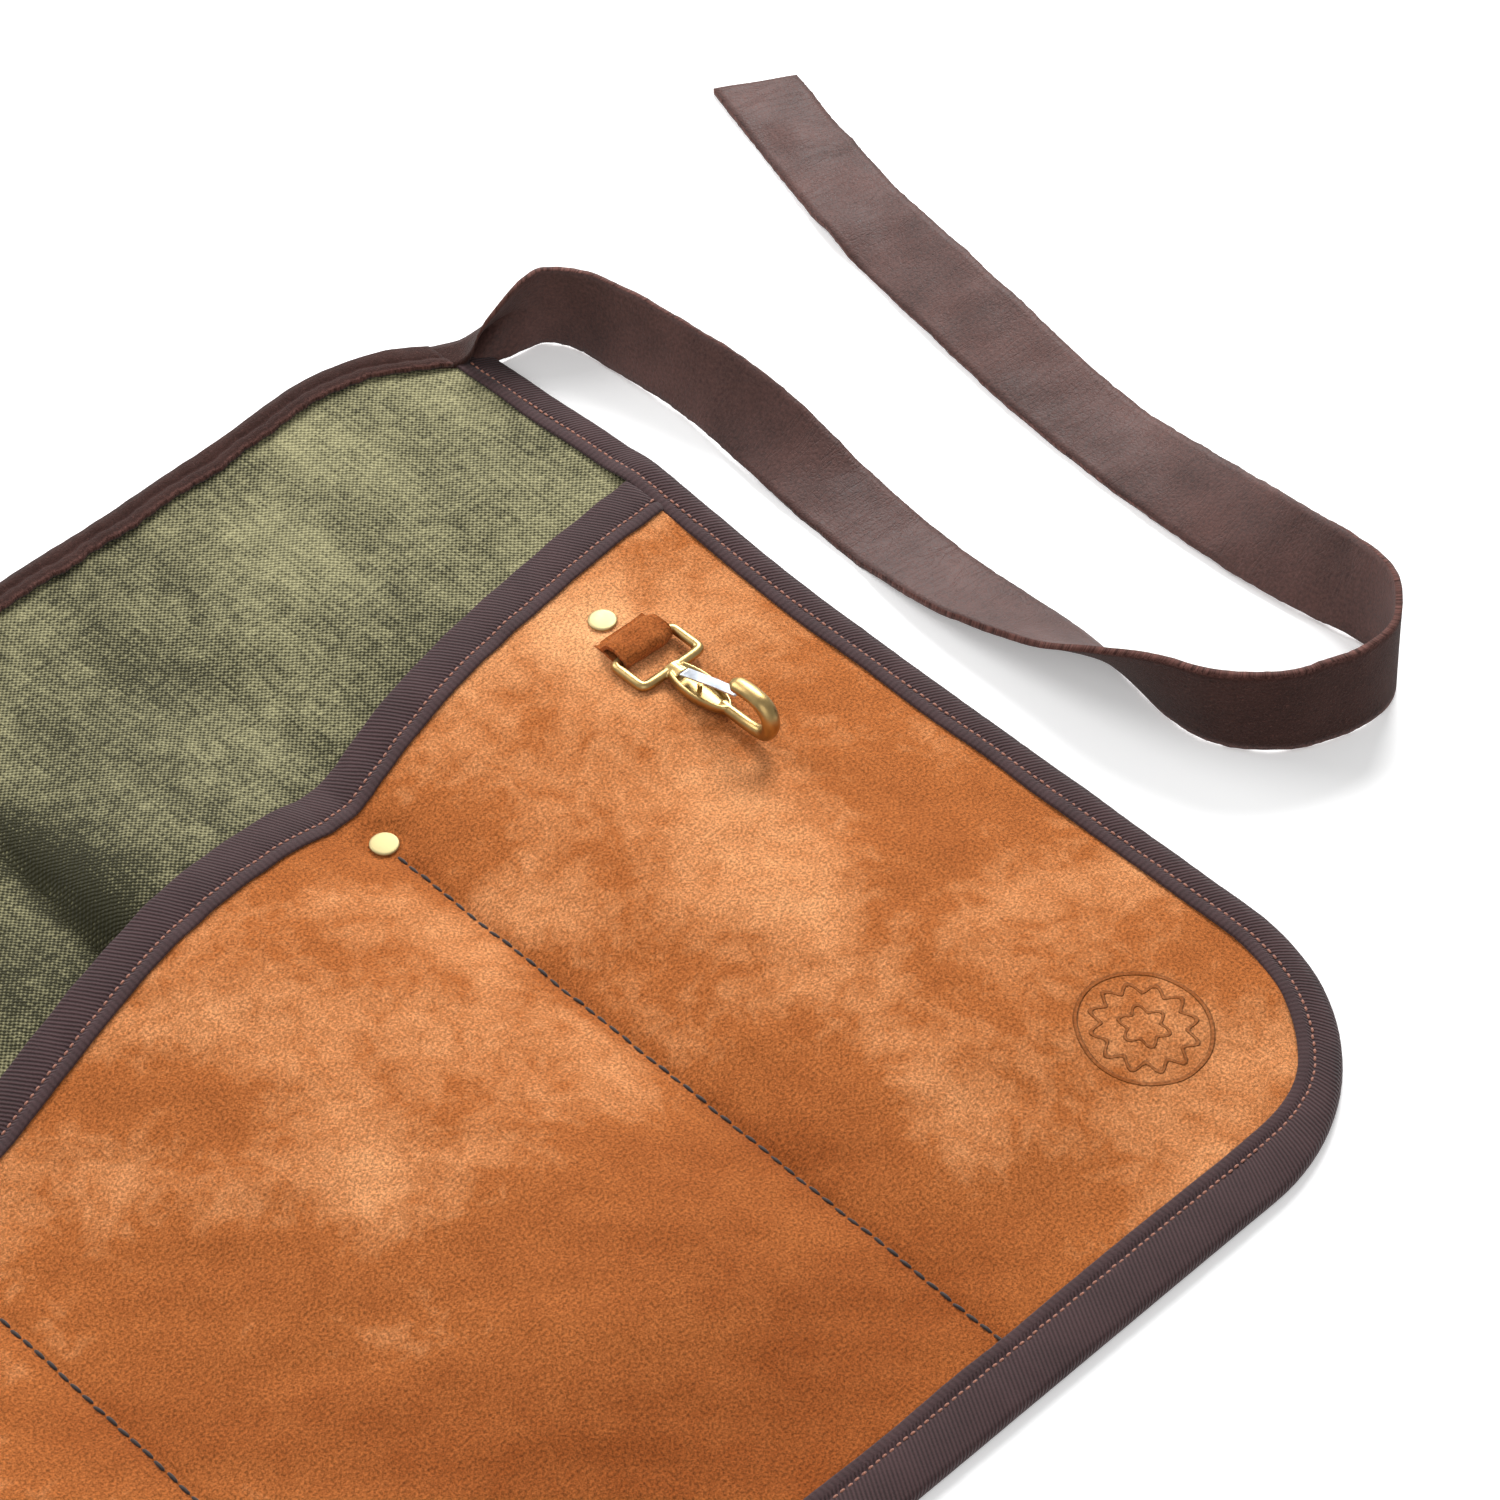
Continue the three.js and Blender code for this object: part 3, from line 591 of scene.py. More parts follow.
def stamp_height(tree, at):
    """1 in the grooves of a plain ornament, 0 outside: a ring round two rings r + depth cos(petals angle)."""
    local = put(tree, "ShaderNodeVectorMath", {0: at, 1: STAMP_PLACE}, operation="SUBTRACT").outputs[0]
    flat = put(tree, "ShaderNodeSeparateXYZ", {0: local})
    radius = put(tree, "ShaderNodeVectorMath", {0: local}, operation="LENGTH").outputs["Value"]
    angle = maths(tree, "ARCTAN2", flat.outputs["Y"], flat.outputs["X"])

    def groove(r, deepest, edge):
        off = maths(tree, "ABSOLUTE", maths(tree, "SUBTRACT", radius, r))
        return between(tree, off, deepest, edge, 1, 0)

    def wavy(petals, r, depth):
        turned = maths(tree, "COSINE", maths(tree, "MULTIPLY", angle, petals))
        return maths(tree, "MULTIPLY_ADD", turned, depth, r)
    rosette = groove(wavy(PETALS, PETAL_R, PETAL_DEPTH), 0.4 * MM, 0.9 * MM)
    core = groove(wavy(CORE_PETALS, CORE_R, CORE_DEPTH), 0.3 * MM, 0.7 * MM)
    ring = groove(STAMP_RING_R, 0.4 * MM, 0.8 * MM)
    return maths(tree, "MAXIMUM", maths(tree, "MAXIMUM", ring, rosette), core)


@once
def canvas_material():
    """Plain-weave canvas: a checker of yarn bumps sin(pi x/p) sin(pi y/p), uneven yarns and faded tops, with
    a painted highlight and painted shade from the piece's attribute.
    """
    c = colours()
    pitch = sizes().weave_pitch
    material, tree, shader = start("canvas", 0.9, sheen=0.08, specular=0.12)
    at = lay_vector(tree)
    wobble = noise(tree, at, 260, 2)
    flat = put(tree, "ShaderNodeSeparateXYZ", {0: at})
    drift = maths(tree, "MULTIPLY", maths(tree, "SUBTRACT", wobble, 0.5), 0.0009)
    x = maths(tree, "ADD", flat.outputs["X"], drift)
    y = maths(tree, "ADD", flat.outputs["Y"], drift)
    weave_x = maths(tree, "SINE", maths(tree, "MULTIPLY", x, math.pi / pitch))
    weave_y = maths(tree, "SINE", maths(tree, "MULTIPLY", y, math.pi / pitch))
    checker = maths(tree, "MULTIPLY", weave_x, weave_y)
    height = maths(tree, "MULTIPLY_ADD", checker, 0.5, 0.5)
    yarn = noise(tree, stretched(tree, at, (1, 0.12, 1)), 900, 2)
    weft = noise(tree, stretched(tree, at, (0.12, 1, 1)), 900, 2)
    slubs = maths(tree, "MULTIPLY", maths(tree, "ADD", yarn, weft), 0.5)
    slow = noise(tree, stretched(tree, at, (1, 0.35, 1)), 45, 5, 0.65)
    tone = maths(tree, "ADD", maths(tree, "MULTIPLY", height, 0.36), maths(tree, "MULTIPLY", slubs, 0.9))
    # The attribute read here brings uneven tone, a painted highlight on the flap, and painted shade in the
    # valley and just above the mouth tape.
    wear = put(tree, "ShaderNodeAttribute", attribute_name="wear").outputs["Fac"]
    tone = maths(tree, "ADD", tone, maths(tree, "MULTIPLY", wear, 0.22))
    share = between(tree, maths(tree, "ADD", tone, maths(tree, "MULTIPLY", slow, 0.5)), 0.70, 1.16)
    base = blend_colour(tree, share, rgba(c.canvas, 0.35), rgba(c.canvas_light))
    normal = bump(tree, maths(tree, "ADD", height, maths(tree, "MULTIPLY", slubs, 0.8)), 0.9, 0.0005)
    finish_material(tree, shader, base, normal)
    return material


RIB_PITCH = 1.35 * MM
LOOP_PITCH = 1.9 * MM
SELVEDGE = 3 * MM               # the looped inner edge of a tape is this wide


@once
def tape_material():
    """Ribbed tape: fine slanted ribs sin(2 pi (along + across) / p), with a looser looped inner edge."""
    c = colours()
    material, tree, shader = start("tape", 0.82, sheen=0.12, specular=0.2)
    at = lay_vector(tree)
    flat = put(tree, "ShaderNodeSeparateXYZ", {0: at})
    along, across = flat.outputs["X"], flat.outputs["Y"]
    slant = maths(tree, "MULTIPLY_ADD", across, 0.55, along)
    rib = maths(tree, "SINE", maths(tree, "MULTIPLY", slant, 2 * math.pi / RIB_PITCH))
    loops = maths(tree, "SINE", maths(tree, "MULTIPLY", along, 2 * math.pi / LOOP_PITCH))
    selvedge = between(tree, across, SELVEDGE, 1.2 * SELVEDGE, 1, 0)
    rib = blend_colour(tree, selvedge, rib, maths(tree, "MULTIPLY", loops, 0.35))
    rib = maths(tree, "MULTIPLY_ADD", rib, 0.5, 0.5)
    lint = noise(tree, at, 1500, 3, 0.7)
    slow = noise(tree, at, 60, 3)
    tone = maths(tree, "ADD", maths(tree, "MULTIPLY", rib, 0.35), maths(tree, "MULTIPLY", lint, 0.5))
    tone = maths(tree, "ADD", tone, maths(tree, "MULTIPLY", slow, 0.35))
    base = blend_colour(tree, between(tree, tone, 0.35, 1.0), rgba(c.tape, 0.45), rgba(c.tape, 2.0))
    normal = bump(tree, maths(tree, "ADD", rib, maths(tree, "MULTIPLY", lint, 0.7)), 0.6, 0.0004)
    finish_material(tree, shader, base, normal)
    return material


PLY_PITCH = 0.6 * MM


def thread_maker(name, pick):
    """Twisted thread: slanted plies sin(2 pi (along + turn) / p)."""
    @once
    def make():
        c = getattr(colours(), pick)
        material, tree, shader = start(name, 0.6, sheen=0.2, specular=0.3)
        at = lay_vector(tree)
        flat = put(tree, "ShaderNodeSeparateXYZ", {0: at})
        slant = maths(tree, "ADD", flat.outputs["X"], flat.outputs["Y"])
        ply = maths(tree, "SINE", maths(tree, "MULTIPLY", slant, 2 * math.pi / PLY_PITCH))
        fuzz = noise(tree, at, 2500, 2)
        share = between(tree, maths(tree, "MULTIPLY_ADD", ply, 0.3, fuzz), 0.2, 0.9)
        base = blend_colour(tree, share, rgba(c, 0.6), rgba(c, 1.5))
        finish_material(tree, shader, base, bump(tree, share, 0.4, 0.0001))
        return material
    return make


stitch_material = thread_maker("rust_thread", "stitch")
seam_thread_material = thread_maker("seam_thread", "seam_thread")


@once
def grain_material():
    """Smooth side of the leather: mauve brown, fine pebbles and creases, a soft dull gloss."""
    c = colours()
    material, tree, shader = start("leather_grain", 0.58, sheen=0.04, specular=0.28)
    at = lay_vector(tree)
    slow = noise(tree, at, 40, 4, 0.6)
    grit = noise(tree, at, 900, 4, 0.7)
    pebbles = put(tree, "ShaderNodeTexVoronoi", {"Vector": at, "Scale": 700.0}, feature="DISTANCE_TO_EDGE")
    cells = pebbles.outputs["Distance"]
    creases = noise(tree, stretched(tree, at, (1, 0.22, 1), 0.5), 260, 3, 0.6, 1.2)
    tone = maths(tree, "ADD", maths(tree, "MULTIPLY", slow, 0.45), maths(tree, "MULTIPLY", grit, 0.75))
    base = blend_colour(tree, between(tree, tone, 0.42, 0.80), rgba(c.grain, 0.45), rgba(c.grain, 1.6))
    crease = between(tree, maths(tree, "ABSOLUTE", maths(tree, "SUBTRACT", creases, 0.5)), 0.0, 0.05, 0, 1)
    normal = bump(tree, between(tree, cells, 0.0, 0.25), 0.35, 0.00015)
    normal = bump(tree, crease, 0.35, 0.00025, normal)
    normal = bump(tree, grit, 0.3, 0.0002, normal)
    finish_material(tree, shader, base, normal, between(tree, grit, 0.3, 0.7, 0.5, 0.68))
    return material


@once
def flesh_material():
    """Rough side of the leather: dark, fibrous and matt, with pale fibre ends."""
    c = colours()
    material, tree, shader = start("leather_flesh", 0.95, sheen=0.10, specular=0.06)
    at = lay_vector(tree)
    slow = noise(tree, at, 50, 4, 0.6)
    fibres = noise(tree, at, 1100, 4, 0.75, 0.8)
    tone = maths(tree, "ADD", maths(tree, "MULTIPLY", slow, 0.35), maths(tree, "MULTIPLY", fibres, 0.75))
    base = blend_colour(tree, between(tree, tone, 0.35, 0.75), rgba(c.flesh, 0.5), rgba(c.flesh, 1.9))
    across = put(tree, "ShaderNodeSeparateXYZ", {0: at}).outputs["Y"]
    half = sizes().tie_width / 2
    rim = between(tree, maths(tree, "ABSOLUTE", across), half - 0.0016, half - 0.0002)
    pale = maths(tree, "ADD", between(tree, fibres, 0.60, 0.72, 0, 0.4),
                 maths(tree, "MULTIPLY", rim, between(tree, fibres, 0.4, 0.6, 0.1, 0.8)))
    base = blend_colour(tree, pale, base, rgba(c.grain, 2.3))
    finish_material(tree, shader, base, bump(tree, fibres, 0.8, 0.0005))
    return material


def metal_maker(name, pick, roughness, speck=0.04, scratch=0.0):
    """Metal with slight tarnish patches; scratch adds straight brushing."""
    @once
    def make():
        c = getattr(colours(), pick)
        material, tree, shader = start(name, roughness, metallic=1.0, specular=0.5)
        at = put(tree, "ShaderNodeTexCoord").outputs["Object"]
        slow = noise(tree, at, 160, 4, 0.6)
        fine = noise(tree, at, 1800, 3, 0.6)
        base = blend_colour(tree, between(tree, slow, 0.35, 0.75), rgba(c, 0.78), rgba(c, 1.08))
        rough = between(tree, slow, 0.3, 0.75, roughness - 0.06, roughness + 0.12)
        lines = noise(tree, stretched(tree, at, (1, 0.05, 1)), 2200, 2)
        grains = maths(tree, "MULTIPLY", fine, speck)
        height = maths(tree, "ADD", grains, maths(tree, "MULTIPLY", lines, scratch))
        finish_material(tree, shader, base, bump(tree, height, 0.5, 0.0003), rough)
        return material
    return make


brass_material = metal_maker("cast_brass", "brass", 0.36, 0.06)
rivet_material = metal_maker("rivet_brass", "rivet", 0.55, 0.05, 0.05)
steel_material = metal_maker("spring_steel", "steel", 0.42, 0.0, 0.02)


# ---------------------------------------------------------------- the cloths' halves, and their grids near the folds
# the cloths' two pieces, as (body, body, fold between them), first and last place along X, and name
RIGHT_HALF = ("column_1", "column_2", FOLD_1)
LEFT_HALF = ("column_2", "column_3", FOLD_2)
HALVES = ((RIGHT_HALF, MIDDLE, RIGHT, "right"), (LEFT_HALF, -RIGHT, MIDDLE, "left"))
BEND = 0.0074    # the grids are closer within 1.2 times this on either side of a fold


def bend_over(piece):
    """Bakes a cloth piece's placement into its mesh."""
    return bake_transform(piece)


def fold_grid(first, last, step, fold):
    """X places from first to last, about step apart, and three times as close over the fold."""
    x = np.linspace(first, last, max(2, int(round((last - first) / step)) + 1))
    near = np.linspace(fold - 1.2 * BEND, fold + 1.2 * BEND, 15)
    keep = x[1:-1][(x[1:-1] < near[0] - step / 3) | (x[1:-1] > near[-1] + step / 3)]
    near = near[(near > first + step / 3) & (near < last - step / 3)]
    return np.sort(np.concatenate([[first], keep, near, [last]]))


# ---------------------------------------------------------------- operators: one for each piece or like group
class ROLLCASE_OT_canvas(bpy.types.Operator):
    """Canvas body: a sheet in plan x, y with height canvas_hills(x, y), closed by an under sheet below it"""
    bl_idname = "rollcase.canvas"
    bl_label = "Canvas"

    def execute(self, context):
        for half, first, last, side in HALVES:
            inset = 1.3 * MM
            x = fold_grid(max(first, -RIGHT + inset), min(last, RIGHT - inset), 0.003, half[2])
            v = np.linspace(0, 1, 150)
            gx, gv = np.meshgrid(x, v, indexing="ij")
            y0 = bottom_edge(gx, inset)
            y1 = top_edge(gx) - 2.2 * MM
            y = y0 + (y1 - y0) * gv
            px = gx + np.sign(gx) * (side_edge(y) - RIGHT) * smooth((np.abs(gx) - RIGHT + 0.03) / 0.03)
            hills = canvas_hills(px, y)
            top = np.stack([px, y, CANVAS_TOP + hills], -1)
            under = np.stack([px, y, CANVAS_LOW + hills], -1)
            lay = np.stack([gx, y, 0 * y], -1)
            above = y - mouth(gx)
            # Painted highlight on the raised flap canvas near the top right, with uneven tone from the waves.
            painted_highlight_and_tone = 0.5 * bell(gx, y, 0.205, 0.175, 0.06, 0.06) + 0.18 * waves(gx, y, 0.07, 24)
            # Painted shade down the steep valley's crease, strongest by the mouth.
            crease = np.exp(-(((gx - VALLEY_X - 4 * MM - VALLEY_LEAN * above) / 0.0075) ** 2))
            wear = painted_highlight_and_tone - 1.1 * crease * smooth((0.10 - above) / 0.06)
            # Painted shade just above the mouth tape round the middle; the whole canvas also a little darker.
            wear = wear - 0.2 - 0.35 * bell(gx, above, 0.0, 0.02, 0.045, 0.05)
            wear = np.concatenate([wear.reshape(-1), 0 * wear.reshape(-1)])
            piece = slab(f"canvas_{side}", top, under, lay, materials=[canvas_material()],
                         extra={"wear": wear})
            nodes = ["canvas_panel_1", "canvas_panel_2"] if side == "right" else ["canvas_panel_3"]
            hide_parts(*nodes)
            bend_over(piece)
        return {"FINISHED"}


class ROLLCASE_OT_suede(bpy.types.Operator):
    """Pocket fronts: a sheet from the bottom edge to the slanted mouth, at height suede_top(x, y)"""
    bl_idname = "rollcase.suede"
    bl_label = "Suede pocket fronts"

    def execute(self, context):
        thick = sizes().suede_thickness
        for half, first, last, side in HALVES:
            inset = 1.5 * MM
            x = fold_grid(max(first, -RIGHT + inset), min(last, RIGHT - inset), 0.0021, half[2])
            v = np.linspace(0, 1, 165)
            gx, gv = np.meshgrid(x, v, indexing="ij")
            y0 = bottom_edge(gx, inset)
            y = y0 + (mouth(gx) - 1.2 * MM - y0) * gv
            z = suede_top(gx, y)
            lay = np.stack([gx, y, 0 * y], -1)
            # Painted highlight on the swells' crests; the waves are rubbed patches, and the suede is lighter
            # round each rivet.
            crest = swell(gx) / 0.0105
            wear = 0.35 * crest + 0.35 * waves(gx, y, 0.06, 21) + 0.2 * waves(gx, y, 0.15, 22)
            for name, _ in RIVETS:
                c = (low(name) + high(name)) / 2
                wear = wear + 0.5 * bell(gx, y, c[0], c[1], 0.013, 0.011)
            # Painted highlight on the right pocket below its mouth tape.
            wear = wear + 0.8 * bell(gx, y, 0.185, 0.085, 0.055, 0.045)
            # Painted shade, darker towards the near bottom left.
            wear = wear - 1.5 * smooth((-0.03 - y) / 0.15) * smooth((0.17 - gx) / 0.14)
            # Painted shade along the seams' grooves.
            for seam in (SEAM_1, SEAM_2):
                wear = wear - 0.5 * np.exp(-(((gx - seam) / 0.004) ** 2))
            wear = np.concatenate([wear.reshape(-1), wear.reshape(-1)])
            top = np.stack([gx, y, z], -1)
            under = np.stack([gx, y, z - thick], -1)
            piece = slab(f"pocket_fronts_{side}", top, under, lay, materials=[suede_material()],
                         extra={"wear": wear})
            nodes = ["suede_pocket_1", "suede_pocket_2"] if side == "right" else ["suede_pocket_3"]
            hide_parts(*nodes)
            bend_over(piece)
        return {"FINISHED"}


def folded_ring(width, top, under, thick):
    """Section of a tape folded over an edge, as (inward, height, across) points round a closed loop.

    It runs outside from the top leg's inner edge, over the stitched groove, round the fold as a half
    ellipse, to the bottom leg's inner edge, and back along the inside, thick further in. width, top and
    under may have one value a station."""
    width, top, under = np.broadcast_arrays(width, top, under)
    near = np.array([0, 0.6, 2.0, 3.3, STITCH_IN / MM - 0.5, STITCH_IN / MM, STITCH_IN / MM + 0.5, 6.0]) * MM
    width = width[:, None]
    legs = np.concatenate([width - near, 0.3 * width, 0.1 * width], 1)
    turn = np.linspace(np.pi / 2, 3 * np.pi / 2, 7)
    mid, half = (top + under)[:, None] / 2, (top - under)[:, None] / 2
    puff = np.array([0.05, 0.35, 0.5, 0.4, -0.05, -0.25, -0.05, 0.35, 0.35, 0.15]) * MM
    bow = half * 0.55 * (1 + np.cos(turn))
    u = np.concatenate([legs, bow, legs[:, ::-1]], 1)
    outer_z = np.concatenate([top[:, None] + puff + 0 * legs, mid + half * np.sin(turn),
                              under[:, None] + 0 * legs], 1)
    inner_u = np.concatenate([legs, bow + 0.9 * thick * np.abs(np.cos(turn)), legs[:, ::-1]], 1)
    inner_z = np.concatenate([(top - thick)[:, None] + 0 * legs, mid + (half - thick) * np.sin(turn),
                              (under + thick)[:, None] + 0 * legs], 1)
    ring_u = np.concatenate([u, inner_u[:, ::-1]], 1)
    ring_z = np.concatenate([outer_z, inner_z[:, ::-1]], 1)
    step = np.hypot(np.diff(u, axis=1), np.diff(outer_z, axis=1))
    across = np.concatenate([0 * u[:, :1], np.cumsum(step, 1)], 1)
    ring_v = np.concatenate([across, across[:, ::-1]], 1)
    return ring_u, ring_z, ring_v


TAPER_L = 53 * MM    # the bottom tape narrows to the side tape over this much of the corner


def edge_line(side):
    """The tape's line round one half of the case: points, inward headings, tape width and top height."""
    r = sizes().corner_radius
    sign = 1 if side == "right" else -1
    start_x = MIDDLE * sign
    fold = (FOLD_1 if side == "right" else FOLD_2) * sign
    flat_x = fold_grid(start_x, RIGHT - r, 0.004, fold)
    turn = np.linspace(-np.pi / 2, 0, 28)[1:]
    y_top = top_edge(RIGHT) - 1.5 * MM
    side_y = np.linspace(BOTTOM + r, y_top, 130)[1:]
    px = np.concatenate([flat_x, RIGHT - r + r * np.cos(turn), side_edge(side_y)])
    py = np.concatenate([BOTTOM + 0 * flat_x, BOTTOM + r + r * np.sin(turn), side_y])
    nx = np.concatenate([0 * flat_x, -np.cos(turn), -1 + 0 * side_y])
    ny = np.concatenate([1 + 0 * flat_x, -np.sin(turn), 0 * side_y])
    near_corner = np.concatenate([0 * flat_x, (turn + np.pi / 2) / (np.pi / 2), 1 + 0 * side_y])
    taper = smooth(near_corner * r * np.pi / 2 / TAPER_L)
    width = BOTTOM_TAPE_W + (sizes().side_tape - BOTTOM_TAPE_W) * taper
    beside_flap = smooth((py - mouth(sign * RIGHT) + 0.004) / 0.016) * (near_corner > 0.99)
    top = EDGE_TOP + (FLAP_TAPE_TOP - EDGE_TOP) * beside_flap
    points = np.stack([sign * px, py, 0 * px], 1)
    inward = np.stack([sign * nx, ny, 0 * nx], 1)
    return points, inward, width, top


def tape_surface(points, inward, u, lift_z):
    """The line moved inward by u and up by lift_z."""
    return points + inward * u[:, None] + np.array([0, 0, 1.0]) * lift_z[:, None]


class ROLLCASE_OT_edge_tape(bpy.types.Operator):
    """Folded tape round the case: the folded section carried along the case's outline, with its stitches"""
    bl_idname = "rollcase.edge_tape"
    bl_label = "Edge tape"

    def execute(self, context):
        replaced = {"right": ["bottom_tape_1", "bottom_tape_2", "side_tape_1", "flap_tape_1"],
                    "left": ["bottom_tape_3", "side_tape_3", "flap_tape_3"]}
        for half, _, _, side in HALVES:
            points, inward, width, top = edge_line(side)
            s = distance_along(points)
            pucker = 0.12 * MM * waves(s, 0 * s, 0.006, 31) + 0.2 * MM * waves(s, 0 * s, 0.03, 32)
            wide = width * (1 + 0.02 * waves(s, 0 * s, 0.05, 33))
            ring_u, ring_z, ring_v = folded_ring(wide, top + 0.25 * MM + pucker, 0 * top, EDGE_TAPE_T)
            rings = points[:, None, :] + inward[:, None, :] * ring_u[..., None]
            rings[..., 2] = np.maximum(ring_z, 0) + edge_lift(rings[..., 0], rings[..., 1])
            lay = np.stack([np.broadcast_to(s[:, None], ring_v.shape), ring_v, 0 * ring_v], -1)
            piece = swept(f"edge_tape_{side}", rings, lay, materials=[tape_material()])
            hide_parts(*replaced[side])
            bend_over(piece)
            self.stitch(side, half, points, inward, width, top)
        return {"FINISHED"}

    def stitch(self, side, half, points, inward, width, top):
        """A row of stitches a fixed way in from the tape's inner edge."""
        line = tape_surface(points, inward, width - STITCH_IN, top + 0.27 * MM)
        line[:, 2] += edge_lift(line[:, 0], line[:, 1])
        s = distance_along(line)
        at = np.arange(2 * MM, s[-1] - 2 * MM, sizes().stitch_pitch)
        c = np.stack([np.interp(at, s, line[:, k]) for k in range(3)], 1)
        heading = frames_along(c)
        up = np.tile([0, 0, 1.0], (len(c), 1))
        r = np.random.default_rng(41)
        c = c + 0.08 * MM * r.normal(size=c.shape) * [1, 1, 0]
        row = capsules(f"edge_stitches_{side}", c, heading, up, STITCH_HALF, STITCH_R,
                       materials=[stitch_material()])
        bend_over(row)


class ROLLCASE_OT_mouth_tape(bpy.types.Operator):
    """Folded tape over the pocket mouths, following the suede's swell, with its stitches"""
    bl_idname = "rollcase.mouth_tape"
    bl_label = "Mouth tape"

    def execute(self, context):
        p = sizes()
        thick = MOUTH_TAPE_T
        for half, first, last, side in HALVES:
            end = RIGHT - p.side_tape + 2.5 * MM
            x = fold_grid(max(first, -end), min(last, end), 0.003, half[2])
            y = mouth(x)
            gone = smooth((np.abs(x) - (RIGHT - p.side_tape) + 1.0 * MM) / (3 * MM)) * 1.1 * MM
            upper = p.suede_thickness + thick + 0.45 * MM + 0 * x
            lower = -thick - 0.1 * MM + 0 * x
            ring_u, ring_z, ring_v = folded_ring(p.mouth_tape + 0 * x, upper, lower, thick)
            py = y[:, None] - ring_u
            px = np.broadcast_to(x[:, None], py.shape)
            base = suede_top(px, np.minimum(py, (y - 1.2 * MM)[:, None])) - p.suede_thickness
            rings = np.stack([px, py, base + ring_z - gone[:, None]], -1)
            lay = np.stack([px, ring_v, 0 * ring_v], -1)
            piece = swept(f"mouth_tape_{side}", rings, lay, materials=[tape_material()])
            nodes = ["mouth_tape_1", "mouth_tape_2"] if side == "right" else ["mouth_tape_3"]
            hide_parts(*nodes)
            bend_over(piece)
            self.stitch(side, half, max(first, -end) + 2 * MM, min(last, end) - 2 * MM)
        return {"FINISHED"}

    def stitch(self, side, half, first, last):
        """A row of stitches in the tape's groove."""
        p = sizes()
        x = np.arange(first, last, p.stitch_pitch)
        y = mouth(x) - p.mouth_tape + STITCH_IN
        c = np.stack([x, y, suede_top(x, y) + 0.97 * MM], 1)
        row = capsules(f"mouth_stitches_{side}", c, frames_along(c), np.tile([0, 0, 1.0], (len(c), 1)),
                       STITCH_HALF, STITCH_R, materials=[stitch_material()])
        bend_over(row)


class ROLLCASE_OT_band(bpy.types.Operator):
    """Leather band folded over the flap's top edge: the folded section with a ragged free edge"""
    bl_idname = "rollcase.band"
    bl_label = "Leather band"

    def execute(self, context):
        for half, first, last, side in HALVES:
            x = fold_grid(max(first, -BAND_END), min(last, BAND_END), 0.0018, half[2])
            ragged = 1 + 0.05 * waves(x, 0 * x, 0.006, 51) + 0.05 * waves(x, 0 * x, 0.02, 52)
            ragged = ragged + 0.35 * smooth((np.abs(x) - BAND_END + 0.035) / 0.035)
            uneven = 0.35 * MM * waves(x, 0 * x, 0.03, 53) + 0.15 * MM * waves(x, 0 * x, 0.008, 54)
            top = CANVAS_TOP + 2.0 * MM + uneven
            ring_u, ring_z, ring_v = folded_ring(BAND_W * ragged, top, 0 * top, BAND_T)
            y = top_edge(x)[:, None] - ring_u + 0.4 * MM * waves(x, 0 * x, 0.05, 55)[:, None]
            px = np.broadcast_to(x[:, None], y.shape)
            rings = np.stack([px, y, np.maximum(ring_z, 0.02 * MM) + edge_lift(px, y)], -1)
            lay = np.stack([px, sizes().tie_width / 2 - ring_v, 0 * ring_v], -1)
            piece = swept(f"leather_band_{side}", rings, lay, materials=[flesh_material()])
            nodes = ["leather_band_1", "leather_band_2"] if side == "right" else ["leather_band_3"]
            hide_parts(*nodes)
            bend_over(piece)
        return {"FINISHED"}


# the tie's route: offsets from the flap's corner along X and Y in mm, and the ribbon's roll in degrees
TIE_ROUTE = (
    (-7.5, -8.5, 80), (-0.5, -13, 84), (6, -18.5, 88), (11, -24.5, 89), (16, -29.2, 88), (22.5, -33.6, 86),
    (28, -41, 82), (31, -52, 77), (33.5, -72, 71), (35, -91, 65), (35.8, -111, 50), (36.4, -130, 28),
    (36, -150, 10), (34.8, -177, 0), (33.2, -204, -10), (34, -223, -18), (36, -250, -33), (37, -268, -54),
    (39, -287, -78), (42, -301, -88), (49.5, -312.2, -94), (58.5, -320.2, -97), (71, -325.8, -99),
    (84, -329, -98), (96.2, -327.4, -94), (105.5, -319.8, -89), (110.7, -308.6, -75), (111.8, -294, -60),
    (111.6, -278, -49), (111.6, -261, -41), (113.6, -233, -25), (116.4, -199, -10), (119.6, -164, -12),
    (124.8, -130, -17), (131, -96, -15), (137.5, -65, -10), (148.5, -29, -3), (161.3, 12, 0),
)


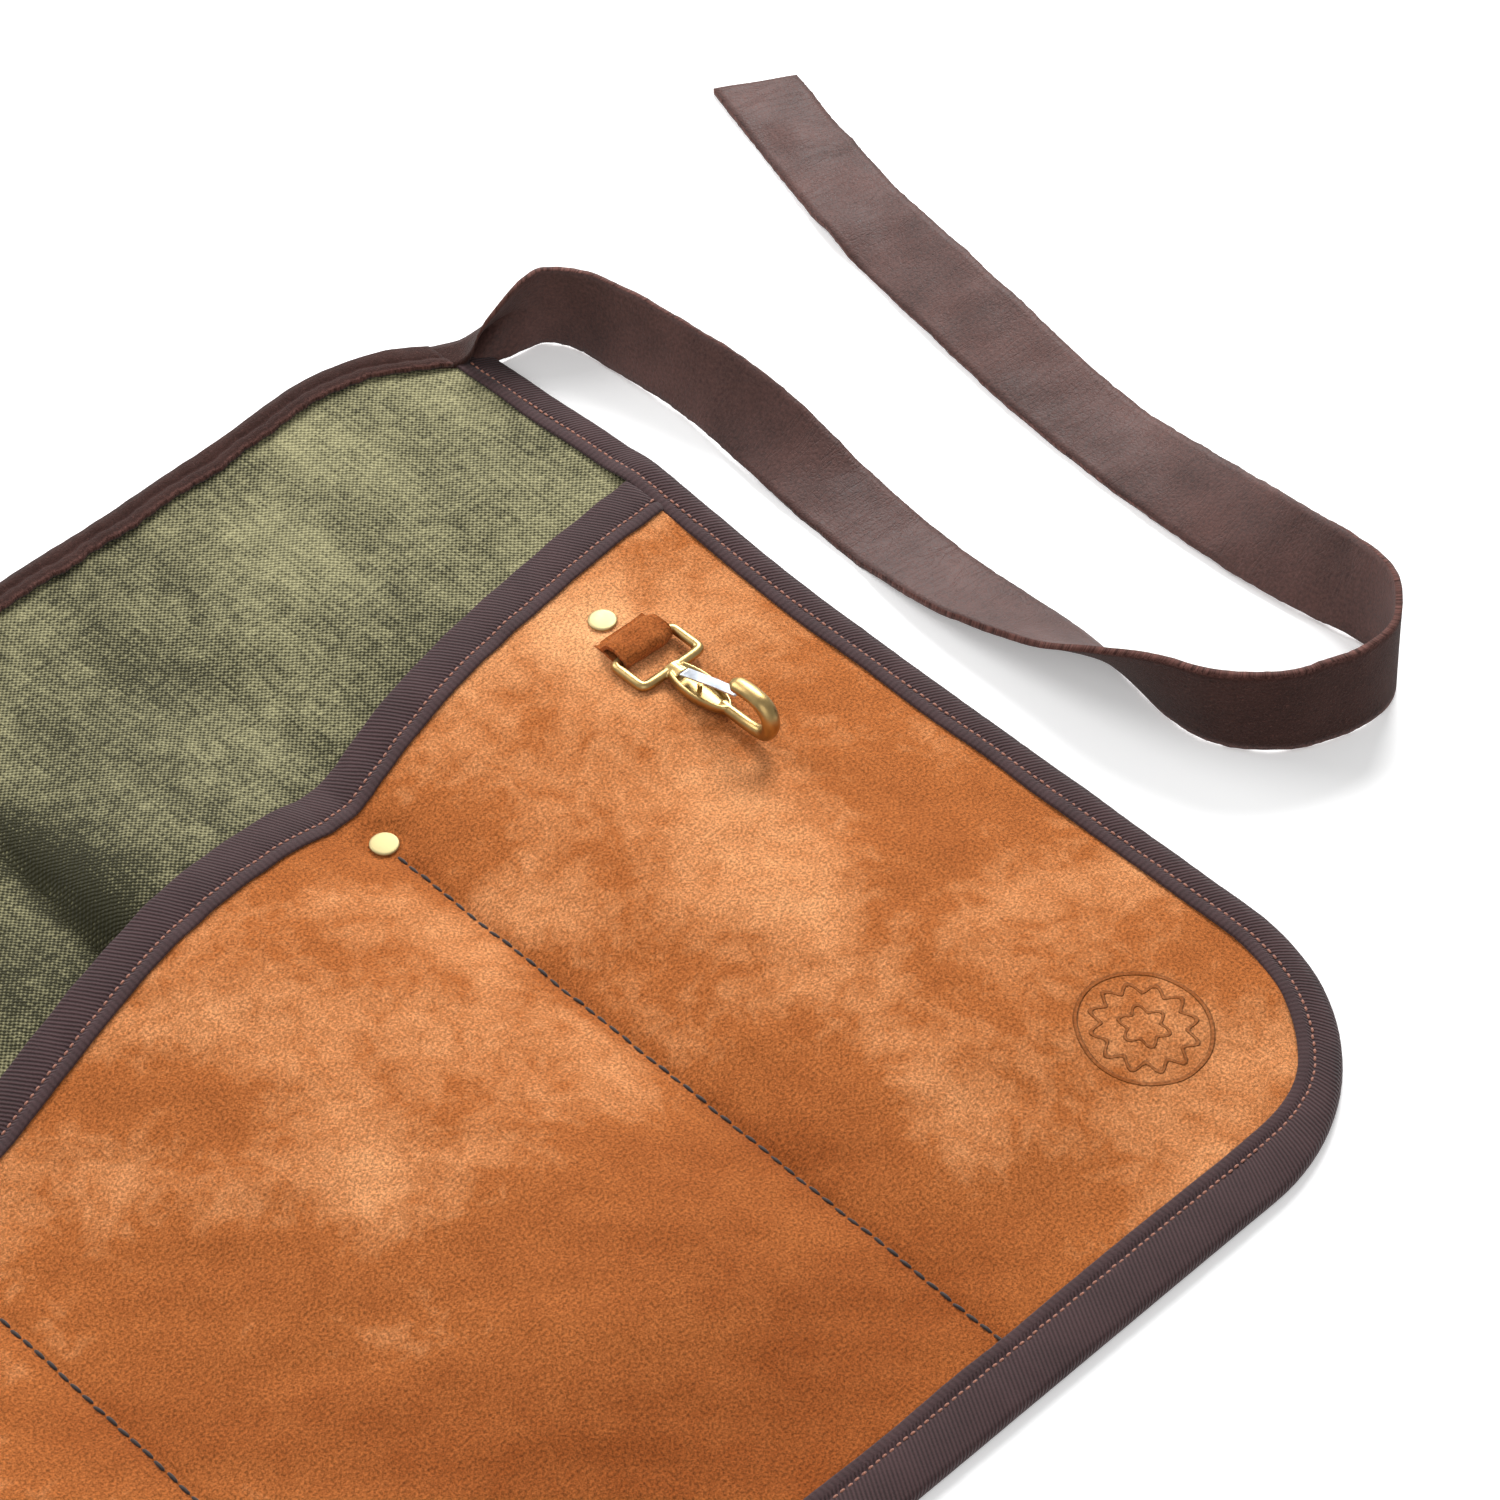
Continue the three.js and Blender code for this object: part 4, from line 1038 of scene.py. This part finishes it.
class ROLLCASE_OT_tie(bpy.types.Operator):
    """Leather tie: a ribbon on its route, rolled at each station and folded in two by the band"""
    bl_idname = "rollcase.tie"
    bl_label = "Leather tie"

    def execute(self, context):
        p = sizes()
        stations = 500
        route = spline(np.array(TIE_ROUTE) * [MM, MM, 1] + [RIGHT, TOP, 0], stations, 2)
        line, roll = route[:, :2], np.radians(route[:, 2])
        s = distance_along(line)
        heading = frames_along(line)
        left = np.stack([-heading[:, 1], heading[:, 0]], 1)
        half_w, half_t = p.tie_width / 2, p.tie_thickness / 2
        # each half of the ribbon has its own angle, so that the first stretch can open out of its fold
        opening = smooth((s - 9 * MM) / (30 * MM))
        upper = roll + (np.radians(176) - roll) * (1 - opening)
        lower = (roll + np.pi) * opening + np.radians(184) * (1 - opening)
        reach = np.linspace(0, 1, 7)
        z0 = half_w * np.maximum(-np.sin(upper), -np.sin(lower)).clip(0) + half_t + 0.1 * MM
        start = 1 - smooth(s / 0.026)
        z0 = z0 + 0.8 * MM * start
        line = line - left * (4.2 * MM * start)[:, None]
        slim = (1 - 0.07 * dome(s / s[-1], 0.10, 0.30, 0.5) - 0.22 * start)[:, None]

        def ragged_edge(seed):
            """Share of the half width at each station, with small nicks."""
            nicks = 0.009 * waves(s, 0 * s, 0.007, seed) + 0.006 * waves(s, 0 * s, 0.0035, seed + 4)
            return slim * (1 + nicks)[:, None]
        ragged_low, ragged_up = ragged_edge(61), ragged_edge(62)

        def face(side):
            """One face of the ribbon, from the lower edge to the upper, side times half_t off its middle."""
            low_r = (reach[::-1] * half_w)[None] * ragged_low
            up_r = (reach[1:] * half_w)[None] * ragged_up
            lo = low_r[..., None] * np.stack([np.cos(lower), np.sin(lower)], 1)[:, None]
            up = up_r[..., None] * np.stack([np.cos(upper), np.sin(upper)], 1)[:, None]
            flat = np.concatenate([lo, up], 1)
            run = np.gradient(flat, axis=1)
            run /= np.linalg.norm(run, axis=2, keepdims=True)
            off = np.stack([-run[..., 1], run[..., 0]], -1) * half_t * side
            flat = flat + off
            across = np.concatenate([-low_r, up_r], 1)
            return flat, across

        front, across = face(1)
        back, _ = face(-1)
        bulge = self.creases(s[:, None], across)
        ring = np.concatenate([front, back[:, ::-1]], 1)
        bumps = np.concatenate([bulge, bulge[:, ::-1]], 1)
        slant = np.concatenate([across, across[:, ::-1]], 1)
        end = smooth((s - s[-1] + 0.012) / 0.012)[:, None] * slant * 0.22
        x = line[:, 0, None] + left[:, 0, None] * ring[..., 0] + heading[:, 0, None] * end
        y = line[:, 1, None] + left[:, 1, None] * ring[..., 0] + heading[:, 1, None] * end
        z = z0[:, None] + ring[..., 1] + bumps
        z = np.maximum(z, 0.05 * MM + 0 * z)
        rings = np.stack([x, y, z], -1)
        across_count = front.shape[1]
        lay = np.stack([np.broadcast_to(s[:, None], slant.shape), slant, 0 * slant], -1)
        column = np.tile(np.arange(2 * across_count), stations - 1)
        slots = np.where(column < across_count - 1, 0, 1)
        piece = swept("tie_strap_leather", rings, lay, materials=[grain_material(), flesh_material()],
                      slots=slots)
        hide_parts("tie_strap")
        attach(piece, "column_1")
        return {"FINISHED"}

    def creases(self, s, across):
        """Puckers across the returning arm and near the tip: short sine ridges under a bell, in metres."""
        total = s[-1]
        kink = 1.6 * MM * np.exp(-(((s - total + 0.083) / 0.010) ** 2)) * smooth((across + 0.004) / 0.012)
        dent = -1.2 * MM * np.exp(-(((s - total + 0.100) / 0.012) ** 2)) * smooth((across + 0.008) / 0.012)
        tip = 1.0 * MM * np.exp(-(((s - total + 0.030) / 0.009) ** 2)) * np.cos(across / 0.0045)
        fine = 0.22 * MM * waves(s, across, 0.018, 63)
        return kink + dent + tip + fine


class ROLLCASE_OT_seam_stitches(bpy.types.Operator):
    """Thick stitches between the pockets: capsules in line, each dipping into the suede at its ends"""
    bl_idname = "rollcase.seam_stitches"
    bl_label = "Seam stitches"

    def execute(self, context):
        pitch = sizes().seam_pitch
        for n, seam, body in ((1, SEAM_1, "column_1"), (2, SEAM_2, "column_2")):
            y_top = low(f"rivet_divider_{n}")[1] - 1.5 * MM
            y = np.arange(BOTTOM + BOTTOM_TAPE_W + 1 * MM, y_top, pitch)
            r = np.random.default_rng(70 + n)
            x = seam + 0.15 * MM * r.normal(size=len(y))
            c = np.stack([x, y, suede_top(x, y) + 0.28 * MM], 1)
            along = np.stack([0.06 * r.normal(size=len(y)), np.ones(len(y)), 0 * y], 1)
            along /= np.linalg.norm(along, axis=1, keepdims=True)
            up = np.tile([0, 0, 1.0], (len(y), 1))
            row = capsules(f"seam_stitches_{n}", c, along, up, SEAM_STITCH_SHARE * pitch, SEAM_STITCH_R,
                           materials=[seam_thread_material()])
            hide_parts(f"divider_stitch_{n}")
            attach(row, body)
        return {"FINISHED"}


def lathe(name, profile, centre, sides=48, **kw):
    """A turned piece: each (radius, height) of the profile is one ring about +Z at centre, with end caps."""
    turn = np.linspace(0, 2 * np.pi, sides, endpoint=False)
    prof = np.asarray(profile, float)
    rings = np.stack([centre[0] + prof[:, :1] * np.cos(turn), centre[1] + prof[:, :1] * np.sin(turn),
                      centre[2] + prof[:, 1:] + 0 * turn], -1)
    lay = np.stack([rings[..., 0] - centre[0], rings[..., 1] - centre[1], 0 * rings[..., 2]], -1)
    return swept(name, rings, lay, **kw)


class ROLLCASE_OT_rivets(bpy.types.Operator):
    """Rivets: flat caps with a rolled rim on the suede, and their backs under the canvas"""
    bl_idname = "rollcase.rivets"
    bl_label = "Rivets"

    def execute(self, context):
        r = sizes().rivet_diameter / 2
        # (share of the radius, height in mm) from the foot's middle, round the rim, to the top's middle
        shape = ((0.02, -0.3), (0.93, -0.3), (1, 0.1), (1, 0.45), (0.97, 0.68), (0.90, 0.80), (0.80, 0.85),
                 (0.4, 0.90), (0.02, 0.92))
        cap = [(share * r, height * MM) for share, height in shape]
        for name, body in RIVETS:
            c = (low(name) + high(name)) / 2
            c[2] = rivet_level(name) + 0.25 * MM
            piece = lathe(f"{name}_cap", cap, c, materials=[rivet_material()])
            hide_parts(name)
            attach(piece, body)
            back = frame["nodes"][f"{name}_back"]
            back.data.materials.clear()
            back.data.materials.append(rivet_material())
        return {"FINISHED"}


def rod(line, radius_a, radius_b, sides=20):
    """Rings of a rod along a line in the hook's plane: an ellipse, radius_a along X by radius_b across it."""
    heading = frames_along(line)
    across = np.tile([1.0, 0, 0], (len(line), 1))
    up = np.cross(across, heading)
    up /= np.linalg.norm(up, axis=1, keepdims=True)
    turn = np.linspace(0, 2 * np.pi, sides, endpoint=False)
    a = np.broadcast_to(radius_a, (len(line),))[:, None, None]
    b = np.broadcast_to(radius_b, (len(line),))[:, None, None]
    side = a * np.cos(turn)[None, :, None] * across[:, None]
    return line[:, None] + side + b * np.sin(turn)[None, :, None] * up[:, None]


def hook_place(x, s, h):
    """A point x across the hook, s from its pivot towards -Y and h above the pivot."""
    return np.stack(np.broadcast_arrays(PIVOT[0] + x, PIVOT[1] - s, PIVOT[2] + h), -1)


# the hook's own sizes; places along it are measured from its pivot
VOXEL = 0.32 * MM
EYE_ROD_R = 1.7 * MM
EYE_HALF_L = 6.5 * MM
EYE_SQUARENESS = 0.2
NECK_FROM, NECK_L = 11.8 * MM, 5.4 * MM
CUP_FROM, CUP_L = 14.5 * MM, 22.5 * MM
FLOOR_FROM, FLOOR_L = 14 * MM, 23 * MM
BEND_R = 7 * MM


class ROLLCASE_OT_snap_hook(bpy.types.Operator):
    """Snap hook: a square eye, a lens-shaped cup and a bent rod, joined and rounded by a fine remesh"""
    bl_idname = "rollcase.snap_hook"
    bl_label = "Snap hook"

    def execute(self, context):
        parts = [self.eye(), *self.cup_walls(), self.cup_floor(), self.hook_rod(), self.neck()]
        verts, quads, caps, n = [], [], [], 0
        for rings, closed in parts:
            rows, cols = rings.shape[:2]
            flat = rings.reshape(-1, 3)
            q = grid_quads(rows, cols, wrap=True)
            if closed:
                here, following = np.arange(cols), (np.arange(cols) + 1) % cols
                end = (rows - 1) * cols
                q = np.concatenate([q, np.stack([end + here, here, following, end + following], -1)])
            flip = signed_volume(flat, q) < 0
            q = q[:, ::-1] if flip else q
            if not closed:
                a = list(range(cols))
                b = [(rows - 1) * cols + c for c in range(cols)]
                ends = [a[::-1], b] if flip else [a, b[::-1]]
                caps += [[k + n for k in e] for e in ends]
            verts.append(flat)
            quads.append(q + n)
            n += len(flat)
        piece = build("snap_hook_cast", np.concatenate(verts), np.concatenate(quads), caps=caps,
                      materials=[brass_material()])
        remesh = piece.modifiers.new("remesh", "REMESH")
        remesh.mode = "VOXEL"
        remesh.voxel_size = VOXEL
        remesh.use_smooth_shade = True
        soften = piece.modifiers.new("smooth", "SMOOTH")
        soften.factor = 0.5
        soften.iterations = 7
        apply_modifiers(piece)
        piece.data.materials.clear()
        piece.data.materials.append(brass_material())
        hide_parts("snap_hook")
        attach(piece, "hook")
        lug = frame["nodes"]["hook_lug"]
        lug.data.materials.clear()
        lug.data.materials.append(brass_material())
        return {"FINISHED"}

    def eye(self):
        """Square eye: a closed rod round a rounded rectangle, x = a sgn(cos t) |cos t|^k and so for s."""
        r = EYE_ROD_R
        half_x = (high("snap_hook")[0] - low("snap_hook")[0]) / 2 - r
        t = np.linspace(0, 2 * np.pi, 120, endpoint=False)
        x = half_x * np.sign(np.cos(t)) * np.abs(np.cos(t)) ** EYE_SQUARENESS
        s = EYE_HALF_L + EYE_HALF_L * np.sign(np.sin(t)) * np.abs(np.sin(t)) ** EYE_SQUARENESS
        line = hook_place(x, s, 0)
        nxt, prv = np.roll(line, -1, 0), np.roll(line, 1, 0)
        heading = nxt - prv
        heading /= np.linalg.norm(heading, axis=1, keepdims=True)
        out = np.cross(heading, [0, 0, 1.0])
        turn = np.linspace(0, 2 * np.pi, 16, endpoint=False)
        rings = (line[:, None] + r * np.cos(turn)[None, :, None] * out[:, None]
                 + 0.92 * r * np.sin(turn)[None, :, None] * np.array([0, 0, 1.0]))
        return rings, True

    def cup_walls(self):
        """Two walls that part at the neck and meet at the rod: x = a + b sin(pi u)^0.7 on either side."""
        t = np.linspace(0, 1, 40)
        s = CUP_FROM + CUP_L * t
        made = []
        for sign in (-1, 1):
            w = sign * (0.8 * MM + 3.6 * MM * np.sin(np.pi * np.clip(0.12 + 0.88 * t, 0, 1)) ** 0.7)
            line = hook_place(w, s, 0.35 * MM + 0 * s)
            made.append((rod(line, 0.95 * MM, (1.9 - 0.2 * t) * MM, 14), False))
        return made

    def cup_floor(self):
        """Flat rod under the walls, widest near the cup's middle."""
        t = np.linspace(0, 1, 30)
        line = hook_place(0 * t, FLOOR_FROM + FLOOR_L * t, -1.15 * MM + 0 * t)
        half_width = (1.3 + 3.3 * np.sin(np.pi * np.clip(0.15 + 0.8 * t, 0, 1))) * MM
        return rod(line, half_width, 0.75 * MM, 16), False

    def neck(self):
        """Short waisted block from the eye into the cup."""
        t = np.linspace(0, 1, 12)
        line = hook_place(0 * t, NECK_FROM + NECK_L * t, 0.1 * MM + 0 * t)
        return rod(line, (3.6 - 1.2 * np.sin(np.pi * t)) * MM, 1.8 * MM, 16), False

    def hook_rod(self):
        """Rod from the cup round a half-circle bend and back over to the nose, thicker round the bend."""
        c = PIVOT[1] - low("snap_hook")[1] - sizes().rod_radius - BEND_R
        points = [(34.0 * MM, -0.1 * MM), (40 * MM, 0), (c - 2 * MM, 0)]
        turns = np.radians([30, 60, 90, 120, 150])
        points += [(c + BEND_R * math.sin(a), BEND_R * (1 - math.cos(a))) for a in turns]
        points += [(c - 1 * MM, 2 * BEND_R), (c - 5 * MM, 1.99 * BEND_R), (c - 9.2 * MM, 1.90 * BEND_R)]
        path = spline([(0, s, h) for s, h in points], 70)
        line = hook_place(path[:, 0], path[:, 1], path[:, 2])
        t = np.linspace(0, 1, 70)
        r = sizes().rod_radius
        wide = r * (0.95 + 0.5 * smooth((t - 0.28) / 0.35)) * (1 - 0.45 * smooth((t - 0.95) / 0.05))
        thicker = 0.28 * np.exp(-(((t - 0.55) / 0.2) ** 2))
        deep = r * (0.95 + thicker) * (1 - 0.3 * smooth((t - 0.95) / 0.05))
        return rod(line, wide, deep, 20), False


def apply_modifiers(piece):
    """Replaces a piece's mesh with its modified mesh, and leaves no modifier on it."""
    bpy.context.view_layer.update()
    final = bpy.data.meshes.new_from_object(piece.evaluated_get(bpy.context.evaluated_depsgraph_get()))
    old = piece.data
    piece.modifiers.clear()
    piece.data = final
    final.name = piece.name
    bpy.data.meshes.remove(old)
    final.polygons.foreach_set("use_smooth", np.ones(len(final.polygons), bool))


class ROLLCASE_OT_tongue(bpy.types.Operator):
    """Spring tongue: a thin leaf that rises from the cup's head to the hook's nose, bowed a little"""
    bl_idname = "rollcase.tongue"
    bl_label = "Spring tongue"

    def execute(self, context):
        lo, hi = low("spring_tongue"), high("spring_tongue")
        t = np.linspace(0, 1, 30)
        a = np.linspace(-1, 1, 9)
        gt, ga = np.meshgrid(t, a, indexing="ij")
        width = (hi[0] - lo[0]) / 2 * (1 - 0.12 * gt)
        y = hi[1] + (lo[1] - hi[1]) * gt
        climb = (hi[2] - lo[2] - 0.7 * MM) * (0.9 * gt + 0.1 * gt**2)
        rise_z = lo[2] + 0.35 * MM + climb + 0.5 * MM * np.sin(np.pi * gt)
        crown = -0.12 * MM * ga**2
        x = PIVOT[0] + ga * width
        top = np.stack([x, y, rise_z + crown + 0.3 * MM], -1)
        under = np.stack([x, y, rise_z + crown - 0.3 * MM], -1)
        lay = np.stack([x - PIVOT[0], y, 0 * y], -1)
        piece = slab("spring_tongue_leaf", top, under, lay, materials=[steel_material()])
        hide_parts("spring_tongue")
        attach(piece, "tongue")
        return {"FINISHED"}


class ROLLCASE_OT_hook_loop(bpy.types.Operator):
    """Suede loop: a teardrop line round the eye's bar, carried across the loop's width, with frayed ends"""
    bl_idname = "rollcase.hook_loop"
    bl_label = "Hook loop"

    def execute(self, context):
        lo, hi = low("hook_loop"), high("hook_loop")
        half = (hi[0] - lo[0]) / 2 + 0.4 * MM
        ground = float(suede_top(PIVOT[0], PIVOT[1] + 0.009)) - PIVOT[2]
        floor = ground / MM
        # (Y, Z) in mm from the pivot: up from the slit, over the bar, under it and back to the slit
        outer = [(11.2, floor - 0.6), (9.4, floor + 1.1), (6.5, 3.2), (3.2, 4.15), (0, 4.0), (-2.6, 2.9),
                 (-3.7, 0.6), (-3.2, -1.2), (-1.6, -2.0), (2.0, -2.0), (6, -1.9), (10.8, floor - 0.8)]
        line = spline(np.array([(0, y, z) for y, z in outer]) * MM, 70)[:, 1:]
        heading = frames_along(line)
        inward = np.stack([-heading[:, 1], heading[:, 0]], 1)
        centre = line.mean(0)
        if ((centre - line) * inward).sum() < 0:
            inward = -inward
        thick = 1.5 * MM
        a = np.linspace(-1, 1, 27)
        s = distance_along(line)
        gs, ga = np.meshgrid(s, a, indexing="ij")
        x = PIVOT[0] + ga * half * (1 + 0.02 * waves(gs, 0 * gs, 0.008, 81) * np.abs(ga) ** 6)
        puff = 0.30 * MM * waves(x, gs, 0.009, 82) - 0.7 * MM * np.abs(ga) ** 6
        out = line[:, None] - inward[:, None] * puff[..., None]
        inn = line[:, None] + inward[:, None] * (thick - 0.5 * puff)[..., None]
        top = np.stack([x, PIVOT[1] + out[..., 0], PIVOT[2] + out[..., 1]], -1)
        under = np.stack([x, PIVOT[1] + inn[..., 0], PIVOT[2] + inn[..., 1]], -1)
        lay = np.stack([x, gs, 0 * gs], -1)
        rim = 0.8 * np.abs(ga) ** 8
        # Here the attribute only darkens the loop, more at its sides, with uneven tone.
        wear = np.concatenate([(-0.9 + 0.4 * waves(x, gs, 0.010, 83) - rim).reshape(-1)] * 2)
        piece = slab("hook_loop_suede", top, under, lay, materials=[suede_material()], extra={"wear": wear})
        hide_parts("hook_loop")
        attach(piece, "column_1")
        return {"FINISHED"}


FLOOR_HALF = 6.0
FLOOR_Z = -0.05 * MM
LIGHTS = (("key", (1.45, 0.95, 1.25), 0.9, 46), ("back", (-0.25, 1.7, 1.3), 1.1, 20),
          ("fill", (-0.9, -1.1, 1.4), 1.8, 10))     # name, place, size and power
LIGHTS_AIM = (0.15, 0.0, 0.0)
CAMERA_HEADING, CAMERA_DOWN = 44.33, 46.76        # degrees, the heading from +Y towards +X
CAMERA_TARGET, CAMERA_DISTANCE = (0.19875, 0.0069, 0), 1.455
CAMERA_LENS, CAMERA_SENSOR = 117.07, 36          # millimetres


class ROLLCASE_OT_stage(bpy.types.Operator):
    """Stage: a pale floor, soft lights and the camera"""
    bl_idname = "rollcase.stage"
    bl_label = "Floor, lights and camera"

    def execute(self, context):
        scene = context.scene
        corners = [(x * FLOOR_HALF, y * FLOOR_HALF, FLOOR_Z) for x, y in ((-1, -1), (1, -1), (1, 1), (-1, 1))]
        mesh = bpy.data.meshes.new("floor")
        mesh.from_pydata(corners, [], [(0, 1, 2, 3)])
        floor = bpy.data.objects.new("floor", mesh)
        scene.collection.objects.link(floor)
        material, _, shader = start("floor_white", 0.9, specular=0.1)
        shader.inputs["Base Color"].default_value = (0.95, 0.95, 0.95, 1)
        shader.inputs["Emission Color"].default_value = (1, 1, 1, 1)
        shader.inputs["Emission Strength"].default_value = 0.22
        mesh.materials.append(material)

        self.camera(scene)
        for light in LIGHTS:
            self.area(scene, *light)
        world = bpy.data.worlds.new("studio")
        scene.world = world
        world.use_nodes = True
        world.node_tree.nodes["Background"].inputs["Color"].default_value = (1, 1, 1, 1)
        world.node_tree.nodes["Background"].inputs["Strength"].default_value = 0.45
        scene.view_settings.view_transform = "Standard"
        return {"FINISHED"}

    def camera(self, scene):
        """Camera on a line of sight through its target, at its heading and its angle down."""
        heading, down = math.radians(CAMERA_HEADING), math.radians(CAMERA_DOWN)
        level = math.cos(down)
        look = Vector((math.sin(heading) * level, math.cos(heading) * level, -math.sin(down)))
        data = bpy.data.cameras.new("camera")
        data.lens, data.sensor_width = CAMERA_LENS, CAMERA_SENSOR
        data.clip_end = 20
        camera = bpy.data.objects.new("camera", data)
        camera.location = Vector(CAMERA_TARGET) - look * CAMERA_DISTANCE
        camera.rotation_euler = look.to_track_quat("-Z", "Y").to_euler()
        scene.collection.objects.link(camera)
        scene.camera = camera

    def area(self, scene, name, place, size, power):
        """A round soft light at place, turned towards the case."""
        data = bpy.data.lights.new(name, "AREA")
        data.shape, data.size, data.energy = "DISK", size, power
        lamp = bpy.data.objects.new(name, data)
        lamp.location = place
        aim = Vector(LIGHTS_AIM) - Vector(place)
        lamp.rotation_euler = aim.to_track_quat("-Z", "Y").to_euler()
        scene.collection.objects.link(lamp)


OPERATORS = (ROLLCASE_OT_canvas, ROLLCASE_OT_suede, ROLLCASE_OT_edge_tape, ROLLCASE_OT_mouth_tape,
             ROLLCASE_OT_band, ROLLCASE_OT_tie, ROLLCASE_OT_seam_stitches, ROLLCASE_OT_rivets,
             ROLLCASE_OT_snap_hook, ROLLCASE_OT_tongue, ROLLCASE_OT_hook_loop, ROLLCASE_OT_stage)


class ROLLCASE_PT_panel(bpy.types.Panel):
    """Lists the pieces, sizes and colours"""
    bl_label = "Brush roll case"
    bl_idname = "ROLLCASE_PT_panel"
    bl_space_type = "VIEW_3D"
    bl_region_type = "UI"
    bl_category = "Roll Case"

    def draw(self, context):
        for group in (context.scene.roll_case_sizes, context.scene.roll_case_colours):
            box = self.layout.box()
            for key in group.__annotations__:
                box.prop(group, key)
        for operator in OPERATORS:
            self.layout.operator(operator.bl_idname)


CLASSES = (RollCaseSizes, RollCaseColours, *OPERATORS, ROLLCASE_PT_panel)


def register():
    for cls in CLASSES:
        bpy.utils.register_class(cls)
    bpy.types.Scene.roll_case_sizes = PointerProperty(type=RollCaseSizes)
    bpy.types.Scene.roll_case_colours = PointerProperty(type=RollCaseColours)


def unregister():
    del bpy.types.Scene.roll_case_colours
    del bpy.types.Scene.roll_case_sizes
    for cls in reversed(CLASSES):
        bpy.utils.unregister_class(cls)


def main():
    """Registers the add-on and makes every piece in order."""
    register()
    for operator in OPERATORS:
        group, name = operator.bl_idname.split(".")
        getattr(getattr(bpy.ops, group), name)()
    bpy.context.view_layer.update()


if __name__ == "__main__":
    main()
